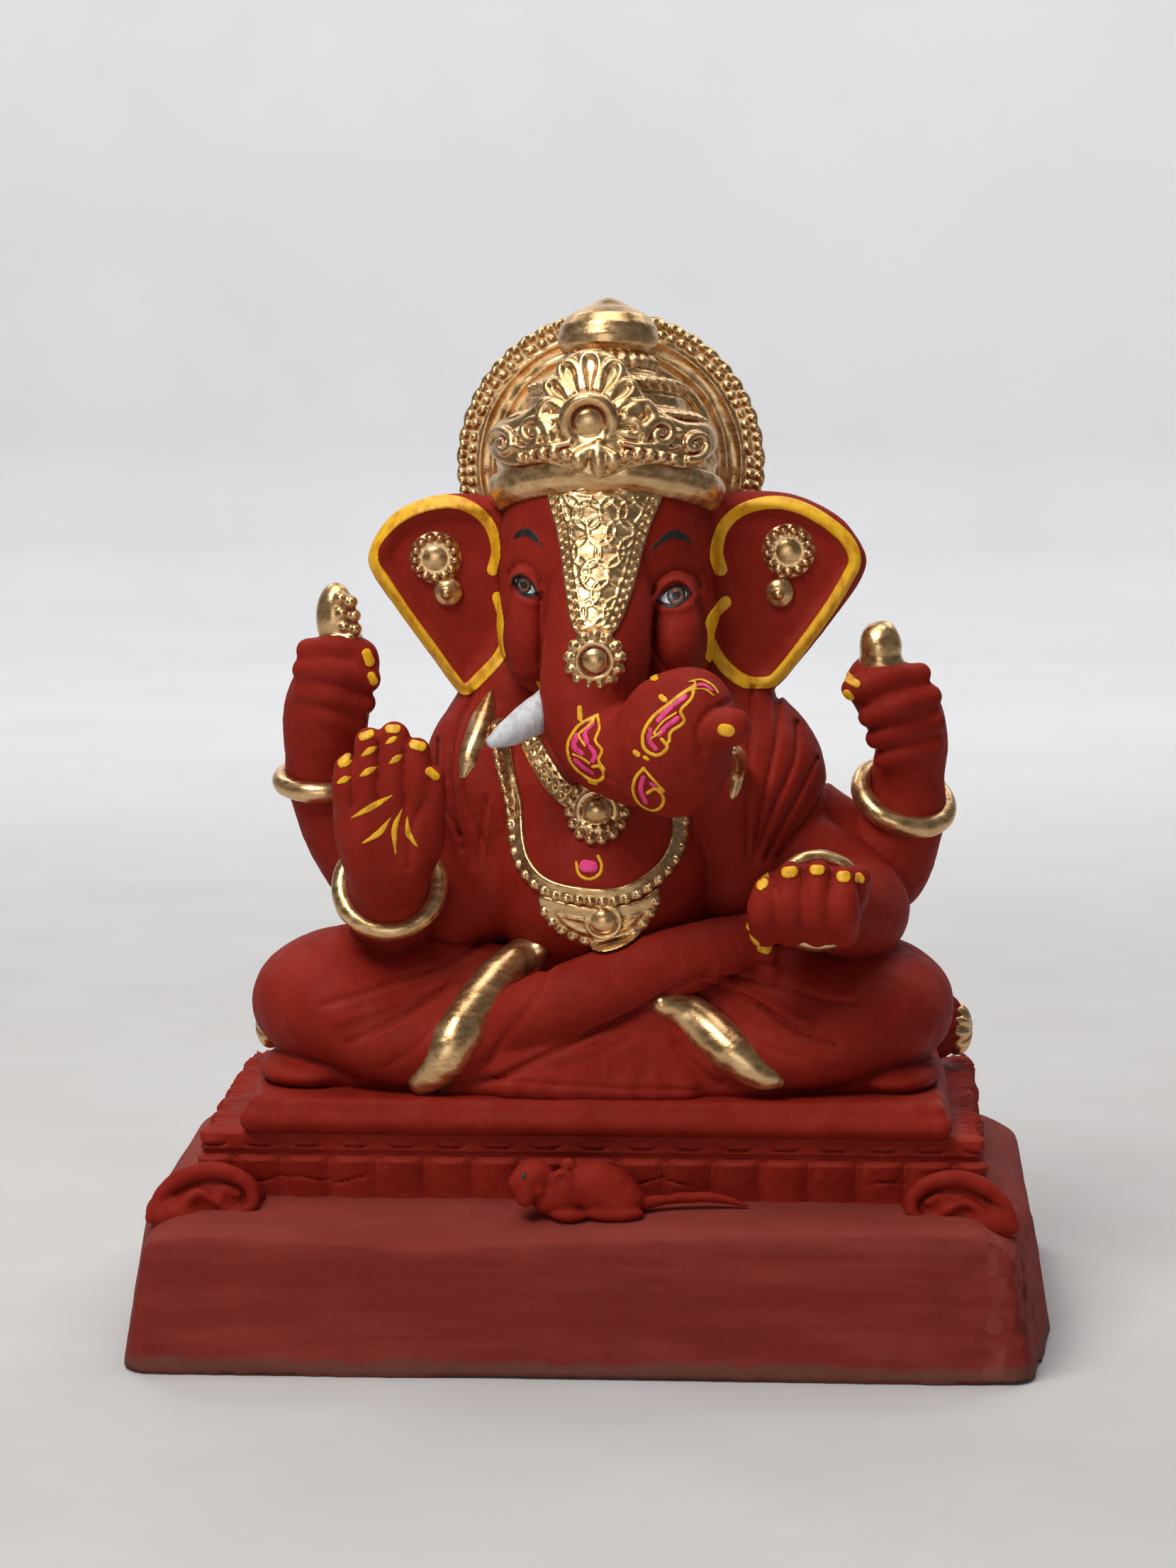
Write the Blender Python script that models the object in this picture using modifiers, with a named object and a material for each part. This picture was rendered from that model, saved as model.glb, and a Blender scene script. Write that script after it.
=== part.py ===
"""Seated elephant-headed idol in painted red clay.

The idol is pressed in moulds as separate pieces and luted together with slip: a hollow plinth, a
petalled tier and a seat slab, crossed legs, torso, shawl, four arms, head with trunk and ears,
a tiered crown with a halo plate behind it, and applied jewellery.

Frame: +Z up, -Y is the front, origin at the middle of the plinth's underside. Shapes are written in
millimetres and scaled to metres as they are made. Neighbouring pieces keep a joint of JOINT.
"""

import math

import bmesh
import bpy
from mathutils import Euler, Matrix, Vector

MM = 0.001

# Driving dimensions, in millimetres. X and Y are measured from a point FIGURE_Y in front of the
# middle of the plinth.
FIGURE_Y = 5.5
AXIS_X = 3.5
PLINTH_FRONT, PLINTH_WIDEST, PLINTH_BACK = -88.0, -28.0, 77.0
PLINTH_FRONT_HALF, PLINTH_HALF = 123.0, 130.0
PLINTH_EDGE, PLINTH_TOP = 35.0, 43.5
TIER_HALF = 107.5
TIER_FRONT, TIER_BACK, TIER_TOP = -62.0, 58.0, 62.0
SLAB_HALF = 97.5
SLAB_FRONT, SLAB_BACK, SLAB_TOP = -64.0, 27.0, 71.5
WALL = 14.0
CROWN_FOOT = (4.0, -9.0, 229.5)
CROWN_TILT = math.radians(-10.0)
HALO_CENTRE = (3.6, 25.0, 240.0)
HALO_RADIUS = 44.6
JOINT = 0.5
CLAY_VOXEL = 2.2
FINENESS = 0.5

PETALS = 15
HALO_NOTCHES = 24

COLLECTION = "ganesha_idol"
CUTTERS = "cutters"

FINISHES = {
    "red_clay": ((0.240, 0.028, 0.018), 0.72, 0.0),
    "dusty_clay": ((0.190, 0.034, 0.026), 0.82, 0.0),
    "gold_paint": ((0.560, 0.370, 0.140), 0.34, 0.9),
    "white_paint": ((0.620, 0.620, 0.630), 0.60, 0.0),
}


# ---------------------------------------------------------------- scene and materials

def clear_scene():
    for obj in list(bpy.data.objects):
        bpy.data.objects.remove(obj)


def new_collection(name):
    made = bpy.data.collections.new(name)
    bpy.context.scene.collection.children.link(made)
    return made


def material(name):
    made = bpy.data.materials.get(name)
    if made:
        return made
    colour, roughness, metallic = FINISHES[name]
    made = bpy.data.materials.new(name)
    made.use_nodes = True
    shader = made.node_tree.nodes["Principled BSDF"]
    shader.inputs["Base Color"].default_value = (*colour, 1.0)
    shader.inputs["Roughness"].default_value = roughness
    shader.inputs["Metallic"].default_value = metallic
    return made


# ---------------------------------------------------------------- shapes, in millimetres

def mesh_from(bm, name="shape"):
    made = bpy.data.meshes.new(name)
    bm.to_mesh(made)
    bm.free()
    return made


def placed(mesh, centre, tilt=(0, 0, 0)):
    """The mesh turned by tilt, in degrees about X, Y and Z, and moved to centre."""
    turn = Euler([math.radians(a) for a in tilt]).to_matrix().to_4x4()
    mesh.transform(Matrix.Translation(centre) @ turn)
    return mesh


def egg(centre, radii, tilt=(0, 0, 0), segments=20):
    """A ball stretched to its three radii."""
    bm = bmesh.new()
    bmesh.ops.create_uvsphere(bm, u_segments=segments, v_segments=segments // 2, radius=1.0)
    bmesh.ops.scale(bm, vec=radii, verts=bm.verts)
    return placed(mesh_from(bm), centre, tilt)


def limb(points, radii, sides=3):
    """A round tube through the points whose thickness follows radii, with round ends."""
    curve = bpy.data.curves.new("limb", "CURVE")
    curve.dimensions = "3D"
    curve.bevel_depth = 1.0
    curve.bevel_resolution = sides
    curve.resolution_u = 4
    curve.use_fill_caps = True
    spline = curve.splines.new("BEZIER")
    spline.bezier_points.add(len(points) - 1)
    for knot, point, radius in zip(spline.bezier_points, points, radii):
        knot.co = point
        knot.radius = radius
        knot.handle_left_type = knot.handle_right_type = "AUTO"
    holder = bpy.data.objects.new("limb", curve)
    bpy.context.scene.collection.objects.link(holder)
    bpy.context.view_layer.update()
    tube = bpy.data.meshes.new_from_object(holder.evaluated_get(bpy.context.evaluated_depsgraph_get()))
    bpy.data.objects.remove(holder)
    bm = bmesh.new()
    bm.from_mesh(tube)
    bmesh.ops.remove_doubles(bm, verts=bm.verts, dist=0.01)
    for point, radius in ((points[0], radii[0]), (points[-1], radii[-1])):
        bm.from_mesh(egg(point, (radius * 0.98,) * 3, segments=14))
    bmesh.ops.recalc_face_normals(bm, faces=bm.faces)
    return mesh_from(bm)


def block(low, high, top_inset=(0.0, 0.0), bevel=0.0, bevel_steps=2):
    """A box between two corners, narrower at the top by top_inset on each side, with soft edges."""
    bm = bmesh.new()
    bmesh.ops.create_cube(bm, size=1.0)
    size = Vector(high) - Vector(low)
    middle = (Vector(high) + Vector(low)) / 2
    bmesh.ops.scale(bm, vec=size, verts=bm.verts)
    for vert in bm.verts:
        if vert.co.z > 0:
            vert.co.x -= math.copysign(top_inset[0], vert.co.x)
            vert.co.y -= math.copysign(top_inset[1], vert.co.y)
    if bevel:
        edges = [e for e in bm.edges if max(v.co.z for v in e.verts) > 0]
        bmesh.ops.bevel(bm, geom=edges, offset=bevel, segments=bevel_steps, profile=0.6,
                        affect="EDGES")
    return placed(mesh_from(bm), middle)


def turned(profile, centre, tilt=0.0, steps=20):
    """A solid of revolution about a vertical axis, leaned by tilt about X.

    The profile's (radius, height) points run from the top of the axis down the outside to its foot.
    """
    curve = bpy.data.meshes.new("profile")
    curve.from_pydata([(r, 0, h) for r, h in profile], [(i, i + 1) for i in range(len(profile) - 1)], [])
    holder = bpy.data.objects.new("turned", curve)
    bpy.context.scene.collection.objects.link(holder)
    screw = holder.modifiers.new("Screw", "SCREW")
    screw.axis = "Z"
    screw.steps = screw.render_steps = steps
    screw.use_merge_vertices = True
    screw.merge_threshold = 0.0001
    bpy.context.view_layer.update()
    made = bpy.data.meshes.new_from_object(holder.evaluated_get(bpy.context.evaluated_depsgraph_get()))
    bpy.data.objects.remove(holder)
    bm = bmesh.new()
    bm.from_mesh(made)
    bmesh.ops.remove_doubles(bm, verts=bm.verts, dist=0.001)
    bmesh.ops.recalc_face_normals(bm, faces=bm.faces)
    return placed(mesh_from(bm), centre, (math.degrees(tilt), 0, 0))


def ring(centre, radius, tube, tilt, flatten=1.0):
    """A bangle: a torus whose hole faces +Z before it is tilted."""
    profile = [
        (radius + tube * math.sin(a), tube * flatten * math.cos(a))
        for a in (2 * math.pi * k / 6 for k in range(7))
    ]
    made = turned(profile, (0, 0, 0), steps=20)
    return placed(made, centre, tilt)


def plate(outline, front, back, bevel=0.8):
    """A flat piece standing in the XZ plane: its outline's (x, z) points, and its front and back Y."""
    curve = bpy.data.curves.new("plate", "CURVE")
    curve.dimensions = "2D"
    curve.fill_mode = "BOTH"
    curve.extrude = (back - front) / 2 - bevel
    curve.bevel_depth = bevel
    curve.bevel_resolution = 1
    curve.resolution_u = 2
    spline = curve.splines.new("BEZIER")
    spline.bezier_points.add(len(outline) - 1)
    for knot, (x, z) in zip(spline.bezier_points, outline):
        knot.co = (x, z, 0)
        knot.handle_left_type = knot.handle_right_type = "AUTO"
    spline.use_cyclic_u = True
    holder = bpy.data.objects.new("plate", curve)
    bpy.context.scene.collection.objects.link(holder)
    bpy.context.view_layer.update()
    flat = bpy.data.meshes.new_from_object(holder.evaluated_get(bpy.context.evaluated_depsgraph_get()))
    bpy.data.objects.remove(holder)
    bm = bmesh.new()
    bm.from_mesh(flat)
    bmesh.ops.remove_doubles(bm, verts=bm.verts, dist=0.01)
    bmesh.ops.recalc_face_normals(bm, faces=bm.faces)
    return placed(mesh_from(bm), (0, (front + back) / 2, 0), (90, 0, 0))


def is_closed(mesh):
    bm = bmesh.new()
    bm.from_mesh(mesh)
    good = all(edge.is_manifold for edge in bm.edges)
    bm.free()
    return good


# ---------------------------------------------------------------- pieces

class Workshop:
    """Makes the named pieces and remembers them, so that later pieces can be cut to fit them."""

    def __init__(self):
        self.parts = new_collection(COLLECTION)
        self.cutters = new_collection(CUTTERS)
        self.whole = {}

    def read(self, holder):
        bpy.context.view_layer.update()
        return bpy.data.meshes.new_from_object(
            holder.evaluated_get(bpy.context.evaluated_depsgraph_get()))

    def joined(self, meshes):
        bm = bmesh.new()
        for mesh in meshes:
            bm.from_mesh(mesh)
        return mesh_from(bm)

    def merged(self, meshes, triangles, voxel, smoothing):
        """The shapes pressed into one lump of clay: remeshed, rubbed smooth and thinned out."""
        holder = bpy.data.objects.new("lump", self.joined(meshes))
        self.parts.objects.link(holder)
        remesh = holder.modifiers.new("Remesh", "REMESH")
        remesh.mode = "VOXEL"
        remesh.voxel_size = voxel
        smooth = holder.modifiers.new("Smooth", "SMOOTH")
        smooth.factor = 0.5
        smooth.iterations = smoothing
        dense = self.read(holder)
        faces = sum(len(p.vertices) - 2 for p in dense.polygons)
        holder.modifiers.clear()
        holder.data = dense
        thin = holder.modifiers.new("Decimate", "DECIMATE")
        thin.ratio = min(1.0, FINENESS * triangles / faces)
        made = self.read(holder)
        bpy.data.objects.remove(holder)
        return made

    def swollen(self, name):
        """A helper a little larger than a piece as it was before its own cuts, to cut others with."""
        helper = "fit_" + name
        if helper in bpy.data.objects:
            return bpy.data.objects[helper]
        mesh = self.whole[name].copy()
        bm = bmesh.new()
        bm.from_mesh(mesh)
        bm.normal_update()
        for vert in bm.verts:
            share = vert.calc_shell_factor() if vert.is_manifold else 1.0
            vert.co += vert.normal * JOINT * MM * min(share, 2.0)
        bm.to_mesh(mesh)
        bm.free()
        obj = bpy.data.objects.new(helper, mesh)
        obj.hide_render = True
        obj.display_type = "WIRE"
        self.cutters.objects.link(obj)
        return obj

    def largest_body(self, mesh):
        """Crumbs that a cut leaves behind are dropped."""
        bm = bmesh.new()
        bm.from_mesh(mesh)
        bmesh.ops.remove_doubles(bm, verts=bm.verts, dist=0.000002)
        bodies, seen = [], set()
        for start in bm.verts:
            if start in seen:
                continue
            body, front = [], [start]
            seen.add(start)
            while front:
                vert = front.pop()
                body.append(vert)
                for edge in vert.link_edges:
                    other = edge.other_vert(vert)
                    if other not in seen:
                        seen.add(other)
                        front.append(other)
            bodies.append(body)
        bodies.sort(key=len)
        crumbs = [vert for body in bodies[:-1] for vert in body]
        bmesh.ops.delete(bm, geom=crumbs, context="VERTS")
        made = mesh.copy()
        bm.to_mesh(made)
        bm.free()
        return made

    def fitted(self, obj, fits):
        """The piece with its neighbours cut out; a hair's nudge is tried when a cut doesn't close."""
        whole = obj.data
        for other in fits:
            fit = obj.modifiers.new("fit_" + other, "BOOLEAN")
            fit.operation = "DIFFERENCE"
            fit.solver = "EXACT"
            fit.object = self.swollen(other)
        for nudge in range(6):
            obj.data = whole.copy()
            obj.data.transform(Matrix.Translation(Vector((0.7, -1.0, 0.4)) * 0.02 * MM * nudge))
            cut = self.largest_body(self.read(obj))
            if is_closed(cut):
                break
        return cut

    def add(self, name, mesh, finish, fits=()):
        """Names a mesh as a piece, brings it to metres, and cuts it to fit earlier pieces."""
        shift = Matrix.Translation((0, FIGURE_Y, 0))
        mesh = mesh.copy()
        mesh.transform(Matrix.Scale(MM, 4) @ shift)
        self.whole[name] = mesh
        obj = bpy.data.objects.new(name, mesh.copy())
        self.parts.objects.link(obj)
        if fits:
            obj.data = self.fitted(obj, fits)
            obj.modifiers.clear()
        obj.data.materials.clear()
        obj.data.materials.append(material(finish))
        obj.data.name = name
        obj.data.shade_smooth()
        obj.data.set_sharp_from_angle(angle=math.radians(40))
        return obj

    def clay(self, name, meshes, triangles, fits=(), finish="red_clay", voxel=CLAY_VOXEL, smoothing=6):
        lump = self.merged(meshes, triangles, voxel, smoothing)
        return self.add(name, lump, finish, fits)


# ---------------------------------------------------------------- base

def plinth_level(height, side_inset, front_inset, back_inset):
    """The plinth's outline at one height: square behind, its sides drawn in towards the front."""
    front, back = PLINTH_FRONT + front_inset, PLINTH_BACK - back_inset
    half, front_half = PLINTH_HALF - side_inset, PLINTH_FRONT_HALF - side_inset
    right = [(front_half, front), (half, PLINTH_WIDEST), (half, back)]
    return [(x, y, height) for x, y in right] + [(-x, y, height) for x, y in reversed(right)]


def stacked(levels):
    """A solid through equal-sided outlines laid one above the other."""
    bm = bmesh.new()
    rings = [[bm.verts.new(point) for point in level] for level in levels]
    sides = len(rings[0])
    for low, high in zip(rings, rings[1:]):
        for k in range(sides):
            after = (k + 1) % sides
            bm.faces.new((low[k], low[after], high[after], high[k]))
    bm.faces.new(reversed(rings[0]))
    bm.faces.new(rings[-1])
    bmesh.ops.recalc_face_normals(bm, faces=bm.faces)
    return bm


def add_plinth(shop):
    """The lower block, pressed hollow: open underneath, with walls and a roof of WALL."""
    solid = stacked([
        plinth_level(0.0, 0.0, 0.0, 0.0),
        plinth_level(PLINTH_EDGE * 0.6, 3.0, 0.8, 1.0),
        plinth_level(PLINTH_EDGE, 6.0, 2.0, 3.0),
        plinth_level(PLINTH_EDGE + 4.0, 10.5, 6.0, 5.0),
        plinth_level(PLINTH_TOP, 17.0, 22.0, 9.0),
    ])
    upright = [e for e in solid.edges if abs(e.verts[0].co.z - e.verts[1].co.z) > 1.0]
    bmesh.ops.bevel(solid, geom=upright, offset=4.0, segments=2, profile=0.5, affect="EDGES")
    hollow = stacked([
        plinth_level(-5.0, WALL, WALL, WALL),
        plinth_level(PLINTH_TOP - WALL, WALL + 7.0, WALL + 8.0, WALL + 5.0),
    ])
    obj = shop.add("plinth", mesh_from(solid), "dusty_clay")
    mesh = mesh_from(hollow)
    mesh.transform(Matrix.Scale(MM, 4) @ Matrix.Translation((0, FIGURE_Y, 0)))
    helper = bpy.data.objects.new("plinth_hollow", mesh)
    helper.hide_render = True
    helper.display_type = "WIRE"
    shop.cutters.objects.link(helper)
    boolean = obj.modifiers.new("hollow", "BOOLEAN")
    boolean.operation = "DIFFERENCE"
    boolean.object = helper
    obj.data = shop.read(obj)
    obj.modifiers.clear()


def add_tier(shop):
    """The petalled tier: a block with a row of upright petals standing along its front."""
    low = PLINTH_TOP + JOINT
    core = block((AXIS_X - 1.5 - TIER_HALF, TIER_FRONT + 3.0, low),
                 (AXIS_X - 1.5 + TIER_HALF, TIER_BACK, TIER_TOP), (4.0, 2.0), 2.0)
    petals = []
    pitch = 2 * (TIER_HALF - 4.0) / PETALS
    for k in range(PETALS):
        x = AXIS_X - 1.5 - TIER_HALF + 4.0 + pitch * (k + 0.5)
        petals.append(egg((x, TIER_FRONT + 3.0, low + 6.4), (pitch * 0.47, 4.6, 6.0), segments=12))
    mesh = shop.merged([core, *petals], 1000, 1.6, 2)
    shop.add("lotus_tier", mesh, "red_clay", fits=("plinth",))


def add_slab(shop):
    low = TIER_TOP + JOINT
    slab = block((AXIS_X - SLAB_HALF, SLAB_FRONT, low), (AXIS_X + SLAB_HALF, SLAB_BACK, SLAB_TOP),
                 (1.5, 1.5), 3.0, 3)
    shop.add("seat_slab", slab, "red_clay", fits=("lotus_tier",))


def scroll_path(side):
    """A volute: its curl towards the middle, its tail sweeping out and down to the corner."""
    curl = [(2.4, -4.0), (-4.0, -5.0), (-9.0, 0.0), (-5.0, 5.6), (4.0, 6.6), (14.0, 2.0), (21.0, -4.5)]
    return [(side * (97.0 + dx), -71.0, 46.5 + dz) for dx, dz in curl]


def add_scrolls(shop):
    for side, name in ((-1, "corner_scroll_right"), (1, "corner_scroll_left")):
        back = [egg((side * 101.0, -64.0, 45.0), (15.0, 9.0, 8.5)),
                egg((side * 110.0, -66.0, 41.0), (10.0, 9.0, 6.5))]
        coil = limb(scroll_path(side), (1.8, 2.0, 2.4, 2.8, 3.0, 2.8, 2.0))
        mesh = shop.merged([*back, coil], 320, 1.4, 2)
        shop.add(name, mesh, "red_clay", fits=("plinth", "lotus_tier", "seat_slab"))


def add_mouse(shop):
    """The mouse on the ledge, with its nose to the viewer's left and its tail to the right."""
    body = egg((0.0, -73.0, 47.5), (11.5, 7.5, 7.5), (0, 8, 0))
    head = egg((-14.5, -76.5, 51.0), (7.0, 5.0, 5.0), (0, -24, 0))
    ear = egg((-6.5, -76.5, 54.0), (3.8, 2.6, 4.0))
    paw = egg((-4.0, -78.0, 43.6), (8.0, 3.4, 2.6))
    tail = limb([(10.0, -70.5, 46.0), (22.0, -67.5, 46.2), (36.0, -66.5, 46.2)], (2.4, 1.8, 1.1))
    mesh = shop.merged([body, head, ear, paw, tail], 420, 1.0, 2)
    shop.add("mouse", mesh, "red_clay", fits=("plinth", "lotus_tier"))


def add_bolster(shop):
    """The cushion roll behind the figure; only its two ends show from the front."""
    roll = limb([(-90.0, 41.0, 74.5), (AXIS_X, 42.0, 75.0), (97.0, 41.0, 74.5)], (10.5, 12.4, 10.5))
    mesh = shop.merged([roll], 420, 2.2, 2)
    shop.add("bolster", mesh, "red_clay", fits=("lotus_tier", "seat_slab"))
    for side, name in ((-1, "bolster_cap_right"), (1, "bolster_cap_left")):
        cap = egg((AXIS_X + side * 101.5, 41.0, 73.0), (4.5, 7.5, 7.5), segments=10)
        shop.add(name, cap, "gold_paint", fits=("bolster", "lotus_tier"))


# ---------------------------------------------------------------- body

BODY_UNDER = ("seat_slab", "lotus_tier", "bolster")


def add_torso(shop):
    shapes = [
        egg((3.2, -8, 128), (36, 42, 32)),
        egg((4.5, -4, 152), (38, 36, 26)),
        limb([(-27, 4, 160), (35, 4, 160)], (16, 16)),
        limb([(4, 0, 164), (4, 2, 186)], (20, 18)),
        egg((3.5, 2, 92), (46, 30, 24)),
    ]
    shop.clay("torso", shapes, 900, fits=BODY_UNDER)


def add_legs(shop):
    under = (*BODY_UNDER, "torso")
    right = [egg((-67, -17, 91.5), (29, 37, 20)), limb([(-66, -20, 92), (-36, -28, 91), (-10, -24, 90)], (19, 19, 16)),
             egg((-44, -39, 84), (30, 21, 13.5))]
    left = [egg((74, -17, 91), (28.5, 37, 20)), limb([(71, -20, 91), (43, -28, 90), (16, -24, 90)], (19, 19, 16)),
            egg((54, -39, 83.5), (30, 21, 13))]
    shop.clay("right_leg", right, 560, fits=under)
    shop.clay("left_leg", left, 560, fits=(*under, "right_leg"))
    shin = limb([(-30, -46, 84), (-8, -49, 93), (12, -48, 101), (30, -43, 107.5), (44, -38, 112.5)],
                (10, 11, 10.5, 9.5, 7.5))
    shop.clay("right_foot", [shin], 360, fits=(*under, "right_leg", "left_leg"))
    sole = limb([(44, -46, 83), (18, -49, 84), (-8, -52, 81), (-28, -53, 79)], (9, 10.5, 9.5, 7))
    shop.clay("left_foot", [sole], 320, fits=(*under, "right_leg", "left_leg", "right_foot"))
    drape = [egg((-80, -30, 75), (16, 24, 7)), egg((86, -30, 75), (15, 24, 6.5)),
             limb([(-82, -40, 74.5), (3, -57, 74), (88, -40, 74.5)], (4, 3.6, 4)),
             limb([(-84, 0, 75), (90, 0, 75)], (5, 5))]
    shop.clay("seat_cloth", drape, 420,
              fits=(*under, "right_leg", "left_leg", "right_foot", "left_foot"), voxel=1.6, smoothing=3)


def add_hems(shop):
    right = limb([(-11, -46, 110), (-17, -51, 107.5), (-25, -56, 100), (-33, -59, 90), (-41, -60.5, 81),
                  (-46, -60, 76)], (3.0, 4.4, 4.8, 4.8, 4.6, 3.6))
    left = limb([(19, -54, 100), (28, -57, 95.5), (37, -59.5, 89), (45, -60.5, 83), (53, -60, 78)],
                (3.6, 4.8, 5.0, 4.4, 3.0))
    under = ("seat_slab", "torso", "right_leg", "left_leg", "right_foot", "left_foot", "seat_cloth")
    shop.clay("hem_right", [right], 200, fits=under, finish="gold_paint", voxel=1.2, smoothing=1)
    shop.clay("hem_left", [left], 200, fits=under, finish="gold_paint", voxel=1.2, smoothing=1)


def add_shawl(shop):
    under = ("torso", "bolster", "right_leg", "left_leg")
    right = [egg((-28, -4, 148), (20, 30, 30), (0, -8, 0)), egg((-28, -8, 127), (14, 26, 20))]
    left = [egg((40, -4, 150), (26, 30, 29), (0, 14, 0)), egg((42, -9, 128), (16, 26, 18))]
    shop.clay("shawl_right", right, 460, fits=under)
    shop.clay("shawl_left", left, 460, fits=(*under, "shawl_right"))
    border_right = limb([(-30, -26, 175), (-33, -30, 165), (-35.5, -33, 155)], (2.2, 3.6, 2.8))
    border_left = limb([(40, -27, 172), (42, -32, 161), (43, -34, 151)], (2.0, 3.2, 2.4))
    folds = ("torso", "shawl_right", "shawl_left")
    shop.clay("shawl_border_right", [border_right], 140, fits=folds, finish="gold_paint", voxel=0.9,
              smoothing=1)
    shop.clay("shawl_border_left", [border_left], 140, fits=folds, finish="gold_paint", voxel=0.9,
              smoothing=1)


def add_rear_arms(shop):
    under = ("torso", "shawl_right", "shawl_left", "right_leg", "left_leg", "bolster")
    right = limb([(-36, 6, 148), (-50, 6, 128), (-62, 5, 124), (-71, 3, 134), (-77.3, 1, 149)],
                 (14, 13.5, 12.5, 11.2, 10.3))
    left = limb([(48, 6, 146), (66, 6, 132), (79, 5, 127), (86.5, 3, 138), (89.3, 1, 148)],
                (15, 16, 15.5, 12.5, 10.5))
    shop.clay("rear_right_arm", [right], 360, fits=under)
    shop.clay("rear_left_arm", [left], 360, fits=under)

    right_hand = [limb([(-77.4, 0, 157), (-76, -3, 171), (-73, -6, 183)], (10.8, 12.2, 10.0)),
                  egg((-66, -13, 186), (6.5, 6, 8))]
    left_hand = [limb([(89.3, 0, 155), (90, -2, 165), (86, -5, 175), (80, -8, 181)], (10.2, 10.2, 11, 8.5)),
                 limb([(76, -12, 181), (71.5, -15, 178)], (4.5, 3.6))]
    shop.clay("rear_right_hand", right_hand, 320, fits=("rear_right_arm",))
    shop.clay("rear_left_hand", left_hand, 320, fits=("rear_left_arm",))

    for name, centre, radii, hand in (
        ("emblem_right", (-72, -8, 199.5), (6.2, 6.4, 10.0), "rear_right_hand"),
        ("emblem_left", (81, -9, 190.5), (6.0, 6.4, 8.2), "rear_left_hand"),
    ):
        shop.add(name, egg(centre, radii, segments=12), "gold_paint", fits=(hand,))
    shop.add("rear_right_bangle", ring((-77.5, 1, 151.5), 11.6, 2.4, (12, 0, 0)), "gold_paint",
             fits=("rear_right_arm", "rear_right_hand"))
    shop.add("rear_left_bangle", ring((88.0, 1, 147.5), 12.4, 2.6, (30, 20, 0)), "gold_paint",
             fits=("rear_left_arm", "rear_left_hand"))


def add_front_arms(shop):
    under = ("torso", "shawl_right", "shawl_left", "right_leg", "left_leg", "right_foot",
             "rear_right_arm", "rear_left_arm", "hem_right", "hem_left")
    right = limb([(-36, -12, 142), (-50, -15, 122), (-55, -26, 119), (-54.7, -44, 129)], (13, 14, 13.5, 11))
    left = limb([(48, -10, 138), (70, -12, 122), (75, -26, 119), (66, -46, 124)], (14, 15.5, 14, 11.5))
    shop.clay("front_right_arm", [right], 360, fits=under)
    shop.clay("front_left_arm", [left], 360, fits=under)

    palm = [egg((-54.2, -55, 147), (15.6, 9, 21)), egg((-54, -51, 134), (12, 10, 10))]
    fingers = [(-66.0, 164, 3.6), (-59.5, 170.5, 4.0), (-52, 171.5, 4.1), (-45, 167, 3.8)]
    palm += [limb([(x, -57, 150), (x, -60, z)], (r + 0.6, r)) for x, z, r in fingers]
    palm.append(limb([(-42.8, -56, 142), (-41, -59, 158)], (4.2, 3.4)))
    shop.clay("front_right_hand", palm, 560,
              fits=("front_right_arm", "torso", "shawl_right", "right_leg", "rear_right_hand", "hem_right",
                    "rear_right_arm"),
              voxel=1.6, smoothing=3)

    cup = [egg((60.5, -62, 126.5), (14.5, 12, 9.5))]
    for x, z in ((50, 134), (57, 136.5), (64, 136.5), (71, 134)):
        cup.append(limb([(x, -68, 121.5), (x, -71, 129), (x, -68, z)], (4.2, 4.4, 3.2)))
    cup.append(limb([(71, -58, 130), (73, -64, 136)], (4.0, 3.4)))
    shop.clay("front_left_hand", cup, 560, fits=("front_left_arm", "right_foot", "left_leg", "hem_left"),
              voxel=1.6, smoothing=3)

    shop.add("front_right_bangle", ring((-54.7, -40, 127.3), 13.4, 2.4, (58, 0, 0)), "gold_paint",
             fits=("front_right_arm", "front_right_hand", "right_leg", "torso", "shawl_right",
                   "rear_right_arm"))
    shop.add("front_left_bangle", ring((65.0, -46, 125.5), 13.4, 2.2, (80, 0, 8)), "gold_paint",
             fits=("front_left_arm", "front_left_hand", "left_leg", "right_foot", "shawl_left",
                   "rear_left_arm"))


# ---------------------------------------------------------------- head and crown

def add_head(shop):
    under = ("torso", "shawl_right", "shawl_left")
    skull = [egg((4.2, -9, 215), (31, 33, 28)), egg((4.5, -12, 200), (30, 28, 20)),
             egg((-12.5, -22, 196), (12.5, 19, 17)), egg((22, -22, 196), (12.5, 19, 18))]
    shop.clay("head", skull, 620, fits=under)
    trunk = [limb([(4.5, -30, 224), (4, -38, 208), (3, -46, 193), (1, -52, 179), (5, -57, 170), (15, -64, 167)],
                  (11, 14.5, 15.0, 13.0, 12.5, 13.5)),
             egg((25, -69, 171), (16.5, 17, 19.5))]
    trunk.append(limb([(32, -76, 174), (40.5, -81, 177.5)], (7.0, 5.4)))
    shop.clay("trunk", trunk, 760, fits=("head", *under, "shawl_border_left"))
    tusk = limb([(-8, -48, 180), (-16, -55, 175.5), (-23.5, -60, 171.5)], (5.4, 4.6, 3.0))
    shop.clay("tusk_right", [tusk], 160, fits=("trunk", "head", *under), finish="white_paint", voxel=1.0,
              smoothing=1)


RIGHT_EAR = [(-24, 230), (-31, 233.0), (-39, 233.6), (-48, 232), (-56, 226), (-62, 218), (-61.5, 212),
             (-54, 201), (-45, 189), (-36.5, 178), (-31, 182), (-24, 191), (-20, 206)]
LEFT_EAR = [(31, 230), (38, 233.8), (49, 234.2), (60, 232.2), (70, 226), (76.4, 217.5), (75, 211),
            (68.5, 201), (60, 190), (50.8, 178.6), (41, 181), (33, 189), (29, 206)]


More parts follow.
